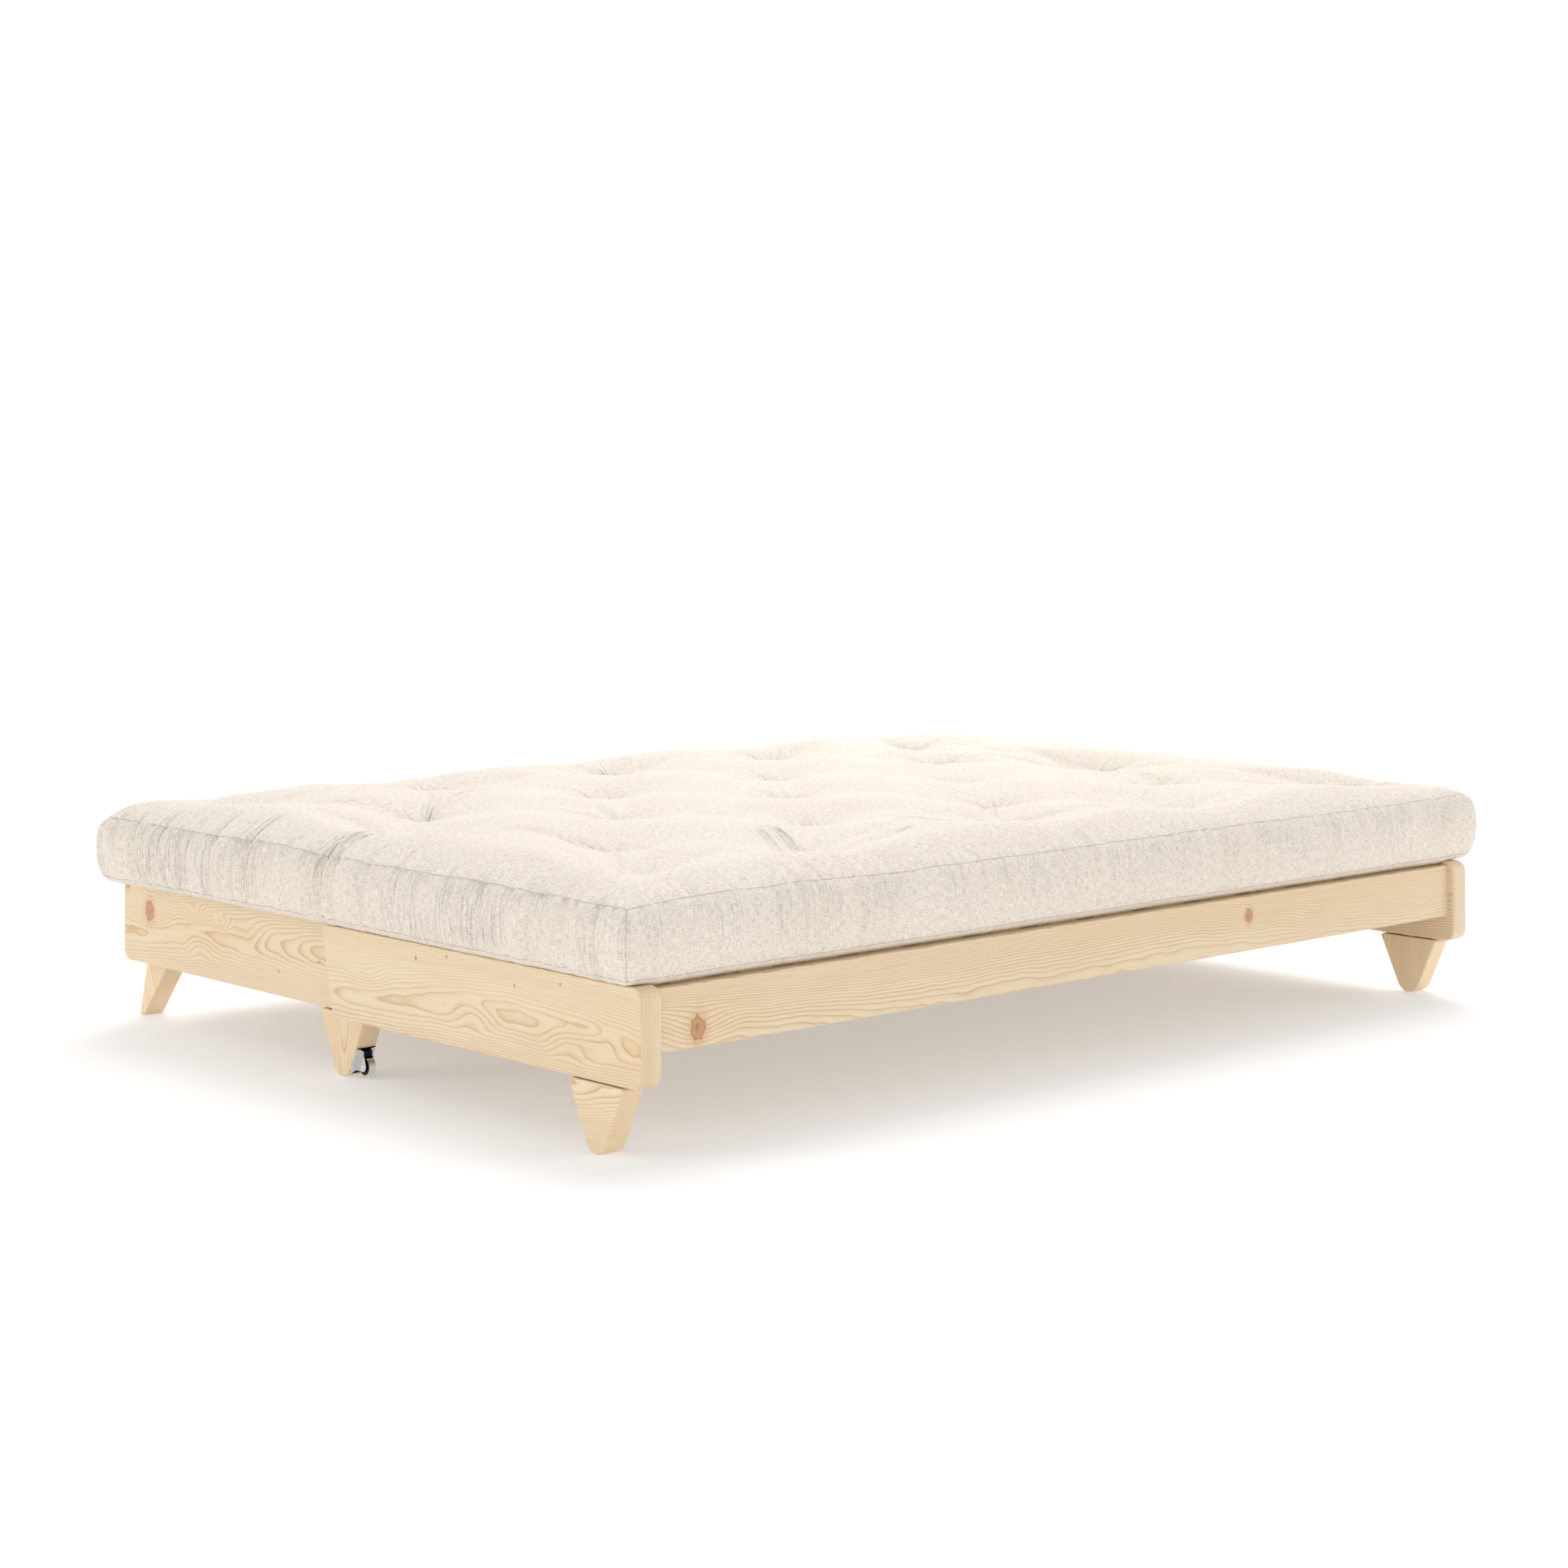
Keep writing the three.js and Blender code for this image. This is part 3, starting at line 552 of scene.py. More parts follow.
def linen_material(name, tone):
    material, tree, shader = new_material(name)
    panel = uv_place(tree, "weave")
    coords = tree.nodes.new("ShaderNodeTexCoord").outputs["Object"]
    warp = noise(tree, panel, 1.0, 1.0, 0.5, (880.0, 90.0, 1.0))
    weft = noise(tree, panel, 1.0, 1.0, 0.5, (90.0, 880.0, 1.0))
    weave = smooth_range(tree, math_node(tree, "ADD", warp, weft), 0.70, 1.30)
    colour = ramp(tree, weave, ((0.0, tuple(c * k for c, k in zip(tone, (0.74, 0.72, 0.70)))),
                                (0.40, tuple(c * k for c, k in zip(tone, (0.95, 0.945, 0.935)))),
                                (0.62, tone),
                                (1.0, tuple(min(1.0, c * 1.08) for c in tone))))
    for stretch in ((420.0, 12.0, 1.0), (12.0, 420.0, 1.0)):
        slub = noise(tree, panel, 1.0, 1.0, 0.5, stretch)
        colour = tinted(tree, colour, slub, (0.60, 0.80), 0.36, (0.78, 0.74, 0.69))
        colour = tinted(tree, colour, slub, (0.40, 0.22), 0.40, tuple(min(1.0, c * 1.10) for c in tone),
                        "MIX")
    speck = noise(tree, coords, 480.0, 1.0, 0.5)
    colour = tinted(tree, colour, speck, (0.67, 0.80), 0.6, (0.60, 0.54, 0.49))
    cloud = noise(tree, coords, 5.0, 2.0, 0.5)
    colour = tinted(tree, colour, cloud, (0.35, 0.7), 0.5, (0.97, 0.965, 0.95))
    shader.inputs["Roughness"].default_value = 0.88
    shader.inputs["Sheen Weight"].default_value = 0.12
    shader.inputs["Sheen Roughness"].default_value = 0.5
    shader.inputs["Specular IOR Level"].default_value = 0.25

    # gathers beside the seams, finer than the mesh carries, in groups, with painted shade in their valleys
    run = uv_place(tree, "gathers")
    group = smooth_range(tree, noise(tree, run, 1.0, 1.0, 0.5, (14.0, 5.0, 1.0)), 0.36, 0.62, 0.3, 1.0)
    amount = times(tree, point_value(tree, "gather")["Fac"], group)
    broad = noise(tree, run, 1.0, 1.0, 0.5, (70.0, 5.0, 1.0), 0.15)
    fine = noise(tree, run, 1.0, 1.0, 0.5, (165.0, 8.0, 1.0), 0.15)
    crest = math_node(tree, "ABSOLUTE", math_node(tree, "SUBTRACT", fine, 0.5))
    ripple = math_node(tree, "SUBTRACT", broad, times(tree, crest, 1.1))
    # painted shade: the colour is darkened towards (0.84, 0.82, 0.79) in the gathers' valleys
    painted_valley_shade = times(tree, smooth_range(tree, ripple, 0.46, 0.28, 0.0, 0.3), amount)
    colour = mix_colour(tree, "MULTIPLY", painted_valley_shade, colour, (0.84, 0.82, 0.79))
    tree.links.new(colour, shader.inputs["Base Color"])
    normal = bump(tree, times(tree, ripple, amount), 0.0095, 1.0)

    # small folds that run out from each tuft: the attribute holds the way from it and how near
    dx, dy, near = point_vector(tree, "tuft")
    safe = math_node(tree, "ADD", hypotenuse(tree, dx, dy), 0.003)
    turn = tree.nodes.new("ShaderNodeCombineXYZ")
    tree.links.new(math_node(tree, "DIVIDE", dx, safe), turn.inputs[0])
    tree.links.new(math_node(tree, "DIVIDE", dy, safe), turn.inputs[1])
    place = tree.nodes.new("ShaderNodeVectorMath")
    place.operation = "MULTIPLY_ADD"
    tree.links.new(coords, place.inputs[0])
    place.inputs[1].default_value = (1.6, 1.6, 1.6)
    tree.links.new(turn.outputs[0], place.inputs[2])
    folds = noise(tree, place.outputs[0], 1.7, 1.0, 0.5)
    fold = smooth_range(tree, math_node(tree, "ABSOLUTE", math_node(tree, "SUBTRACT", folds, 0.5)),
                        0.0, 0.10)
    normal = bump(tree, times(tree, fold, near), 0.0028, 1.0, normal)

    # sharp folds: the attribute holds the way across the nearest one and its depth
    across, fold_depth, _ = point_vector(tree, "crease")
    off = math_node(tree, "ABSOLUTE", across)
    groove = times(tree, smooth_range(tree, off, 0.0, FOLD_WIDTH, -1.0, 0.0), fold_depth)
    normal = bump(tree, groove, 1.0, 1.0, normal)
    normal = bump(tree, noise(tree, coords, 38.0, 3.0, 0.55), 0.0014, 0.6, normal)
    normal = bump(tree, weave, 0.0005, 0.6, normal)
    tree.links.new(normal, shader.inputs["Normal"])
    return material


def thread_material(name, tone):
    material, tree, shader = new_material(name)
    coords = tree.nodes.new("ShaderNodeTexCoord").outputs["Object"]
    stitch = noise(tree, coords, 260.0, 1.0, 0.5)
    colour = ramp(tree, stitch, ((0.35, tuple(c * 0.70 for c in tone)), (0.65, tone)))
    tree.links.new(colour, shader.inputs["Base Color"])
    shader.inputs["Roughness"].default_value = 0.9
    return material


linen = linen_material("linen", (0.865, 0.793, 0.698))
thread = thread_material("linen_thread", (0.66, 0.60, 0.53))


# ---------- futon ----------

def rounded_plan(x, y):
    cx = np.clip(x, SEAM_X[0] + PLAN_ROUND, SEAM_X[1] - PLAN_ROUND)
    cy = np.clip(y, SEAM_Y[0] + PLAN_ROUND, SEAM_Y[1] - PLAN_ROUND)
    u, v = (x - cx) / PLAN_ROUND, (y - cy) / PLAN_ROUND
    return (cx + PLAN_ROUND * u * np.sqrt(1 - v * v / 2),
            cy + PLAN_ROUND * v * np.sqrt(1 - u * u / 2))


def nearest_tuft(x, y):
    near = np.full(x.shape, 9.0)
    for tx, ty in TUFTS:
        near = np.minimum(near, np.hypot(x - tx, y - ty))
    return near


def edge_distance(x, y):
    return np.minimum.reduce([x - SEAM_X[0], SEAM_X[1] - x, y - SEAM_Y[0], SEAM_Y[1] - y])


def futon_shell():
    """The top and the side bands, open underneath."""
    nx = round((SEAM_X[1] - SEAM_X[0]) / CELL)
    ny = round((SEAM_Y[1] - SEAM_Y[0]) / CELL)
    gx, gy = np.meshgrid(np.linspace(*SEAM_X, nx + 1), np.linspace(*SEAM_Y, ny + 1), indexing="ij")
    inward = np.maximum(edge_distance(gx, gy), 0)
    rise = 1 - np.clip(inward / CROWN_RUN, 0, 1)
    top_z = SEAM_Z + CROWN * (1 - rise ** 2)
    dip = np.exp(-((nearest_tuft(gx, gy) / TUFT_RADIUS) ** 1.5))
    top_z = top_z + (TUFT_Z - top_z) * dip
    px, py = rounded_plan(gx, gy)
    top = np.stack([px, py, top_z], -1).reshape(-1, 3)
    grid = np.arange(len(top)).reshape(nx + 1, ny + 1)
    faces = [np.stack([grid[:-1, :-1], grid[1:, :-1], grid[1:, 1:], grid[:-1, 1:]], -1).reshape(-1, 4)]
    ring = np.concatenate([grid[:-1, 0], grid[-1, :-1], grid[:0:-1, -1], grid[0, :0:-1]])
    seam = top[ring]
    middle = np.array([sum(SEAM_X) / 2, sum(SEAM_Y) / 2])
    half = np.array([SEAM_X[1] - SEAM_X[0], SEAM_Y[1] - SEAM_Y[0]]) / 2
    rows = [top]
    last = ring
    for k, (off, height) in enumerate(SIDE_PROFILE, 1):
        row = np.column_stack([middle + (seam[:, :2] - middle) * (1 + off / half),
                               np.full(len(seam), height)])
        new = len(top) + (k - 1) * len(ring) + np.arange(len(ring))
        faces.append(np.stack([last, new, np.roll(new, -1), np.roll(last, -1)], -1))
        rows.append(row)
        last = new
    co = np.concatenate(rows)
    flat = co[:, :2].copy()
    for (cx, cy), push in CORNER_PUSH:
        near = np.exp(-((np.hypot(flat[:, 0] - cx, flat[:, 1] - cy) / CORNER_REACH) ** 2))
        near_up = near * np.clip((co[:, 2] - FUTON_BASE_Z) / 0.08, 0, 1)
        co += np.column_stack([near, near, near_up]) * np.array(push)
    mesh = bpy.data.meshes.new("futon")
    mesh.from_pydata(co.tolist(), [], np.concatenate(faces).tolist())
    mesh.update()
    piece = add_object("futon", mesh)
    band = np.concatenate([np.zeros(len(top))] + [np.full(len(ring), k / SIDE_ROWS)
                                                  for k in range(1, SIDE_ROWS + 1)])
    mesh.attributes.new("band", "FLOAT", "POINT").data.foreach_set("value", band)
    tufts = [int(np.argmin(np.hypot(top[:, 0] - tx, top[:, 1] - ty))) for tx, ty in TUFTS]
    corners = [int(grid[0, 0]), int(grid[-1, 0]), int(grid[-1, -1]), int(grid[0, -1])]
    return piece, {"top": len(top), "ring": ring, "foot": last, "tufts": tufts, "corners": corners}


def eased(share):
    return share * share * (3 - 2 * share)


def read_points(mesh, field="co"):
    co = np.zeros(len(mesh.vertices) * 3)
    mesh.vertices.foreach_get(field, co)
    return co.reshape(-1, 3)


def read_band(mesh):
    band = np.zeros(len(mesh.vertices))
    mesh.attributes["band"].data.foreach_get("value", band)
    return band


def inflate(piece, plan):
    """Cloth with pressure: the sides swell, the top puffs up between the tufts and creases."""
    rest = read_points(piece.data)
    pin = piece.vertex_groups.new(name="pin")
    pin.add([int(i) for i in plan["foot"]] + plan["tufts"], 1.0, "REPLACE")
    side = piece.vertex_groups.new(name="side")
    side.add(list(range(plan["top"], len(rest))), 1.0, "REPLACE")
    cloth = piece.modifiers.new("cloth", "CLOTH")
    cloth.point_cache.frame_start = 1
    cloth.point_cache.frame_end = SIM_FRAMES
    cloth.collision_settings.use_collision = False
    cloth.collision_settings.use_self_collision = False
    for setting, value in CLOTH.items():
        setattr(cloth.settings, setting, value)
    cloth.settings.effector_weights.gravity = 0.0
    scene = bpy.context.scene
    for number in range(1, SIM_FRAMES + 1):
        scene.frame_set(number)
    shaped = piece.evaluated_get(bpy.context.evaluated_depsgraph_get()).data
    moved = read_points(shaped) - rest
    piece.modifiers.remove(cloth)
    piece.vertex_groups.clear()
    scene.frame_set(1)
    length = np.linalg.norm(moved, axis=1)[:, None]
    moved *= np.minimum(1.0, MOVE_CAP / np.maximum(length, 1e-9))
    hold = np.clip(edge_distance(rest[:, 0], rest[:, 1]) / EDGE_HOLD, 0, 1)
    to_corner = np.minimum.reduce([np.hypot(rest[:, 0] - cx, rest[:, 1] - cy)
                                   for cx in SEAM_X for cy in SEAM_Y])
    edge = SIDE_FREEDOM * np.clip(to_corner / CORNER_REACH - 0.2, 0, 1)
    freedom = edge + (1 - edge) * eased(hold)
    freedom[plan["top"] + (SIDE_ROWS - 1) * len(plan["ring"]):] = 0
    moved *= freedom[:, None]
    piece.data.vertices.foreach_set("co", (rest + moved).ravel())
    piece.data.update()


def subdivide(piece):
    modifier = piece.modifiers.new("subdivide", "SUBSURF")
    modifier.levels = modifier.render_levels = 1
    modifier.boundary_smooth = "ALL"
    shaped = piece.evaluated_get(bpy.context.evaluated_depsgraph_get())
    mesh = bpy.data.meshes.new_from_object(shaped)
    piece.modifiers.remove(modifier)
    piece.data = mesh


def wave(place, step, seed):
    """Smooth noise along a line, about -1 to 1, the same on every run."""
    knots = np.random.default_rng(seed).uniform(-1, 1, 4096)
    cell = np.floor(place / step).astype(int)
    part = place / step - cell
    part = eased(part)
    return knots[cell % 4096] * (1 - part) + knots[(cell + 1) % 4096] * part


def wave_2d(x, y, step, seed):
    knots = np.random.default_rng(seed).uniform(-1, 1, (256, 256))
    cx, cy = np.floor(x / step).astype(int), np.floor(y / step).astype(int)
    px, py = x / step - cx, y / step - cy
    px, py = eased(px), eased(py)
    near = knots[cx % 256, cy % 256] * (1 - px) + knots[(cx + 1) % 256, cy % 256] * px
    far = knots[cx % 256, (cy + 1) % 256] * (1 - px) + knots[(cx + 1) % 256, (cy + 1) % 256] * px
    return near * (1 - py) + far * py


def edge_runs(x, y):
    length, width = EDGE_LENGTHS
    return (length + width + x - SEAM_X[0], 2 * length + width + y - SEAM_Y[0],
            SEAM_X[1] - x, length + SEAM_Y[1] - y)


def round_the_edge(x, y):
    """How far a point lies round the seam, from the rear right corner by way of the rear edge,
    the edge it belongs to (front, right, rear, left), and how clear it is of the mitres."""
    gaps = np.stack([y - SEAM_Y[0], SEAM_X[1] - x, SEAM_Y[1] - y, x - SEAM_X[0]])
    side = np.argmin(gaps, axis=0)
    ordered = np.sort(gaps, axis=0)
    clear = np.clip((ordered[1] - ordered[0]) / 0.025, 0, 1)
    return np.choose(side, edge_runs(x, y)), side, clear


def valley(x, y, start, end, depth, half_width):
    """A fold that runs from start to end, deepest near its start, with a low ridge beside it."""
    ax, ay = start
    dx, dy = end[0] - ax, end[1] - ay
    length = math.hypot(dx, dy)
    along = ((x - ax) * dx + (y - ay) * dy) / length
    bend = 0.05 * length * np.sin(np.clip(along / length, 0, 1) * math.pi)
    off = ((x - ax) * dy - (y - ay) * dx) / length - bend
    share = np.clip(along / length, 0, 1)
    ends = np.clip(along / 0.02 + 1, 0, 1) * np.clip((length - along) / 0.05, 0, 1)
    spread = half_width * (0.8 + 0.7 * share)
    groove = np.exp(-((off / spread) ** 2))
    ridge = np.exp(-(((off - 2.1 * spread) / (1.5 * spread)) ** 2))
    return depth * (1 - 0.45 * share) * ends * (0.55 * ridge - groove)


def soften_shoulder(piece):
    """Rounds the filled edge on both sides of the top seam."""
    mesh = piece.data
    co = read_points(mesh)
    edges = np.zeros(len(mesh.edges) * 2, int)
    mesh.edges.foreach_get("vertices", edges)
    a, b = edges.reshape(-1, 2).T
    degree = np.bincount(a, minlength=len(co)) + np.bincount(b, minlength=len(co))
    band = read_band(mesh)
    inward = np.maximum(edge_distance(co[:, 0], co[:, 1]), 0)
    gap = np.where(band < ON_TOP, inward, band * SIDE_LENGTH)
    share = np.clip(1 - gap / SHOULDER_REACH, 0, 1)[:, None]
    for _ in range(SHOULDER_PASSES):
        total = np.zeros_like(co)
        np.add.at(total, a, co[b])
        np.add.at(total, b, co[a])
        co += 0.5 * share * (total / degree[:, None] - co)
    mesh.vertices.foreach_set("co", co.ravel())
    mesh.update()


def swells(x, y, arc, band, on_top, inward):
    """The uneven filling, as a height over the smooth shape."""
    body = sum(height * wave_2d(x, y, step, seed) for height, step, seed in TOP_SWELLS)
    height, step, seed = SIDE_SWELL
    bulge = height * wave(arc, step, seed) * np.sin(np.pi * np.clip(band, 0, 1))
    return np.where(on_top, body * np.clip(inward / 0.08, 0, 1), bulge)


def puckers(x, y, arc, side, band, on_top, inward):
    """Narrow valleys across the seams, and how far they reach from them."""
    drift = arc + 0.012 * wave(arc, 0.06, 34) + 0.010 * band * wave(arc, 0.05, 35)
    narrow = 1 - np.abs(wave(drift, 0.017, 36))
    broad = 1 - np.abs(wave(drift, 0.042, 37))
    gather = 0.5 + 0.5 * wave(arc, 0.13, 38)
    strength = np.choose(side, PUCKER_STRENGTH)
    down = np.where(band < 0.12, 0.5 + band / 0.24, 1.0) * np.clip((0.95 - band) / 0.55, 0, 1)
    down = np.where(side == 3, np.clip((1.0 - band) / 0.35, 0, 1), down)
    inner = np.clip(1 - inward / 0.075, 0, 1) ** 1.3
    reach = np.where(on_top, 0.65 * inner, down)
    lift = -strength * reach * (NARROW_PUCKER * narrow ** 3 * gather + BROAD_PUCKER * broad ** 4)
    for edge, place, depth, half_width, lean in DEEP_PUCKERS:
        off = (x if edge in (0, 2) else y) - place - lean * band
        groove = np.exp(-((off / half_width) ** 2))
        ridges = np.exp(-(((np.abs(off) - 2.2 * half_width) / half_width) ** 2))
        lift += np.where(side == edge, reach * depth * (0.4 * ridges - groove), 0)
    return lift, strength * reach


def tuft_folds(x, y):
    """A dimple at each tuft, the folds that run out from it, and the long folds between tufts."""
    lift = np.zeros(len(x))
    draw = np.random.default_rng(11)
    for tx, ty in TUFTS:
        lift -= DIMPLE_DEPTH * np.exp(-((np.hypot(x - tx, y - ty) / DIMPLE_RADIUS) ** 2))
        first = draw.uniform(0, 2 * math.pi)
        for k in range(TUFT_FOLDS):
            turn = first + (k + draw.uniform(-0.25, 0.25)) * 2 * math.pi / TUFT_FOLDS
            length = draw.uniform(*TUFT_FOLD_LENGTH)
            depth = draw.uniform(*TUFT_FOLD_DEPTH)
            end = (tx + length * math.cos(turn), ty + length * math.sin(turn))
            lift += valley(x, y, (tx, ty), end, depth, TUFT_FOLD_WIDTH)
    for start, end, depth, half_width in LONG_CREASES:
        lift += valley(x, y, start, end, depth, half_width)
    return lift


def write_attribute(mesh, name, values):
    """Stores a number or a vector for every point, for the linen material to read."""
    kind, field = ("FLOAT", "value") if values.ndim == 1 else ("FLOAT_VECTOR", "vector")
    layer = mesh.attributes.new(name, kind, "POINT")
    layer.data.foreach_set(field, values.astype(np.float32).ravel())


def ways_from_tufts(x, y, on_top):
    """The way from the nearest tuft to each point, and how near it is."""
    offsets = np.stack([np.stack([x - tx, y - ty], -1) for tx, ty in TUFTS])
    nearest = np.argmin(np.hypot(offsets[..., 0], offsets[..., 1]), axis=0)
    way = offsets[nearest, np.arange(len(x))]
    away = np.hypot(way[:, 0], way[:, 1])
    near = np.clip(away / 0.012, 0, 1) * np.clip(1.25 - away / 0.08, 0, 1)
    return np.column_stack([way, np.where(on_top, near, 0)])


def relief(piece):
    """Puckers at the seams, folds at the tufts and the uneven filling."""
    mesh = piece.data
    co = read_points(mesh)
    normal = read_points(mesh, "normal")
    band = read_band(mesh)
    x, y = co[:, 0].copy(), co[:, 1].copy()
    arc, side, clear = round_the_edge(x, y)
    on_top = band < ON_TOP
    inward = np.maximum(edge_distance(x, y), 0)
    seam_gap = np.where(on_top, inward, band * SIDE_LENGTH)

    pucker_lift, pucker_share = puckers(x, y, arc, side, band, on_top, inward)
    lift = swells(x, y, arc, band, on_top, inward) + pucker_lift
    lift += np.where(on_top, tuft_folds(x, y), 0)
    lift -= SEAM_PULL * np.exp(-((seam_gap / 0.005) ** 2))
    co += normal * lift[:, None]

    sag = sum(height * wave(arc, step, seed) for height, step, seed in SEAM_SAGS)
    co[:, 2] += sag * np.exp(-((seam_gap / 0.05) ** 2))
    x, y = co[:, 0], co[:, 1]
    over_rail = np.clip((-0.705 - y) / 0.01, 0, 1) * np.clip((0.97 - np.abs(x)) / 0.03, 0, 1)
    co[:, 2] -= RAIL_SAG * over_rail * np.clip(band * 2 - 1, 0, 1)
    co[:, 2] = np.maximum(co[:, 2], resting_height(x, y))
    lean_right = np.clip((x - 0.35) / 0.6, 0, 1) * np.clip(inward / 0.05, 0, 1)
    co[:, 2] -= np.where(on_top, RIGHT_SAG * lean_right, 0)
    mesh.vertices.foreach_set("co", co.ravel())

    wrap = np.clip(np.minimum(arc, 2 * sum(EDGE_LENGTHS) - arc) / 0.03, 0, 1)
    write_attribute(mesh, "gather", pucker_share * wrap * np.where(on_top, clear, 1.0))
    write_attribute(mesh, "tuft", ways_from_tufts(x, y, on_top))
    crease = np.zeros((len(x), 3))
    crease[:, 0] = FOLD_REACH
    sharp = [(start, end, SHARP_SHARE * depth) for start, end, depth, _ in LONG_CREASES]
    mark_folds(np.where(on_top, x, OUT_OF_REACH), y, sharp, crease)
    mark_folds(arc, np.where(on_top, inward, -SIDE_LENGTH * band), SEAM_FOLDS, crease)
    write_attribute(mesh, "crease", crease)
    mesh.update()


def mark_folds(u, v, folds, mark):
    """Notes for every point the way across the nearest fold and that fold's depth there."""
    for (ax, ay), (bx, by), depth in folds:
        length = math.hypot(bx - ax, by - ay)
        ux, uy = (bx - ax) / length, (by - ay) / length
        along = (u - ax) * ux + (v - ay) * uy
        off = (v - ay) * ux - (u - ax) * uy + 0.25 * along * along
        deep = depth * np.clip(along / 0.022 + 0.5, 0, 1) * np.clip(1.5 * (1 - along / length), 0, 1)
        deep *= np.clip((FOLD_REACH - np.abs(off)) / 0.008, 0, 1)
        closer = (deep > 0) & (np.abs(off) < np.abs(mark[:, 0]))
        mark[closer, 0] = off[closer]
        mark[closer, 1] = deep[closer]


def resting_height(x, y):
    """The futon lies flat on the boards, sags a little past them and over the front rail."""
    wide = np.abs(x)
    low = np.full(len(x), FUTON_BASE_Z)
    low = np.where((y < RAIL_BACK_Y) & (wide < SEAT_BOARD_INNER_X), OVER_RAIL_Z, low)
    low = np.where((y > SEAT_BOARD_END_Y) & (wide > BACK_BOARD_OUTER_X), OVERHANG_Z, low)
    return np.where(wide > SEAT_BOARD_OUTER_X, OVERHANG_Z, low)


def fold_arch(y):
    """Room under the futon at the hinge: the folded underside then lies on the slats, not in them."""
    share = min(1.0, max(0.0, (y - FOLD_START[1]) / (FOLD_END[1] - FOLD_START[1])))
    turned = eased(share)
    other = 1.0 - turned if y > HINGE_Y else turned
    base = FUTON_BASE_Z - HINGE_Z
    height = (base + math.sin(FOLD_ANGLE) * other * abs(y - HINGE_Y)) / (
        1.0 - other + math.cos(FOLD_ANGLE) * other)
    return height - base


def underside_columns():
    """Lines across the underside: x, whether the arch lifts it, whether it sags between slats."""
    columns = [(-BOARD_EDGE_X, 0, 0), (-SLATS_EDGE_X, 1, 0)]
    gap = SLAT_PITCH - SLAT_WIDTH
    for k in range(SLAT_COUNT):
        x = SLAT_PITCH * (k - (SLAT_COUNT - 1) / 2) - SLAT_WIDTH / 2
        columns += [(x - SLAT_CLEARANCE, 1, 0), (x + SLAT_WIDTH + SLAT_CLEARANCE, 1, 0)]
        if k < SLAT_COUNT - 1:
            columns += [(x + SLAT_WIDTH + gap * share, 1, 1) for share in (0.25, 0.5, 0.75)]
    return columns + [(SLATS_EDGE_X, 1, 0), (BOARD_EDGE_X, 0, 0)]


def close_bottom(piece, corners_xy):
    """Strips across the underside, each from the left edge to the right edge."""
    mesh = piece.data
    count = {}
    for face in mesh.polygons:
        ids = list(face.vertices)
        for a, b in zip(ids, ids[1:] + ids[:1]):
            key = (min(a, b), max(a, b))
            count[key] = count.get(key, 0) + 1
    ways = {}
    for (a, b), n in count.items():
        if n == 1:
            ways.setdefault(a, []).append(b)
            ways.setdefault(b, []).append(a)
    co = read_points(mesh)
    rim = np.array(sorted(ways))
    starts = [int(rim[np.argmin(np.hypot(co[rim, 0] - x, co[rim, 1] - y))]) for x, y in corners_xy]
    loop = [starts[0]]
    following = max(ways[starts[0]], key=lambda i: co[i, 0])
    while following != starts[0]:
        loop.append(following)
        a, b = ways[following]
        following = b if a == loop[-2] else a
    place = [loop.index(s) for s in starts]
    front = loop[place[0]:place[1] + 1]
    right = loop[place[1]:place[2] + 1]
    rear = loop[place[2]:place[3] + 1]
    left = (loop[place[3]:] + [loop[0]])[::-1]
    faces = [tuple(face.vertices) for face in mesh.polygons]
    points = co.tolist()
    alike = list(range(len(co)))
    columns = underside_columns()
    rows = []
    for a, b in zip(left[1:-1], right[1:-1]):
        row = []
        for x, lifted, sagging in columns:
            rim_point = a if x < 0 else b
            y = float(np.interp(x, (co[a, 0], co[b, 0]), (co[a, 1], co[b, 1])))
            between_rails = min(1.0, max(0.0, (SAG_HALF_RUN - abs(y - SAG_MIDDLE_Y)) / SAG_END_RUN))
            row.append(len(points))
            points.append((x, y, FUTON_BASE_Z + lifted * fold_arch(y) - sagging * SLAT_SAG * between_rails))
            alike.append(rim_point)
        rows.append([a, *row, b])
    strips = [(near[k], far[k], far[k + 1], near[k + 1])
              for near, far in zip(rows, rows[1:]) for k in range(len(near) - 1)]
    ends = [tuple(rows[0] + front[::-1]), tuple(rows[-1][::-1] + rear[::-1])]
    closed = bpy.data.meshes.new("futon")
    closed.from_pydata(points, [], faces + strips + ends)
    closed.update()
    closed.validate()
    for name, kind, field, wide in (("band", "FLOAT", "value", 1), ("gather", "FLOAT", "value", 1),
                                    ("tuft", "FLOAT_VECTOR", "vector", 3),
                                    ("crease", "FLOAT_VECTOR", "vector", 3)):
        values = np.zeros(len(co) * wide, np.float32)
        mesh.attributes[name].data.foreach_get(field, values)
        values = values.reshape(-1, wide)[alike].ravel()
        closed.attributes.new(name, kind, "POINT").data.foreach_set(field, values)
    piece.data = closed


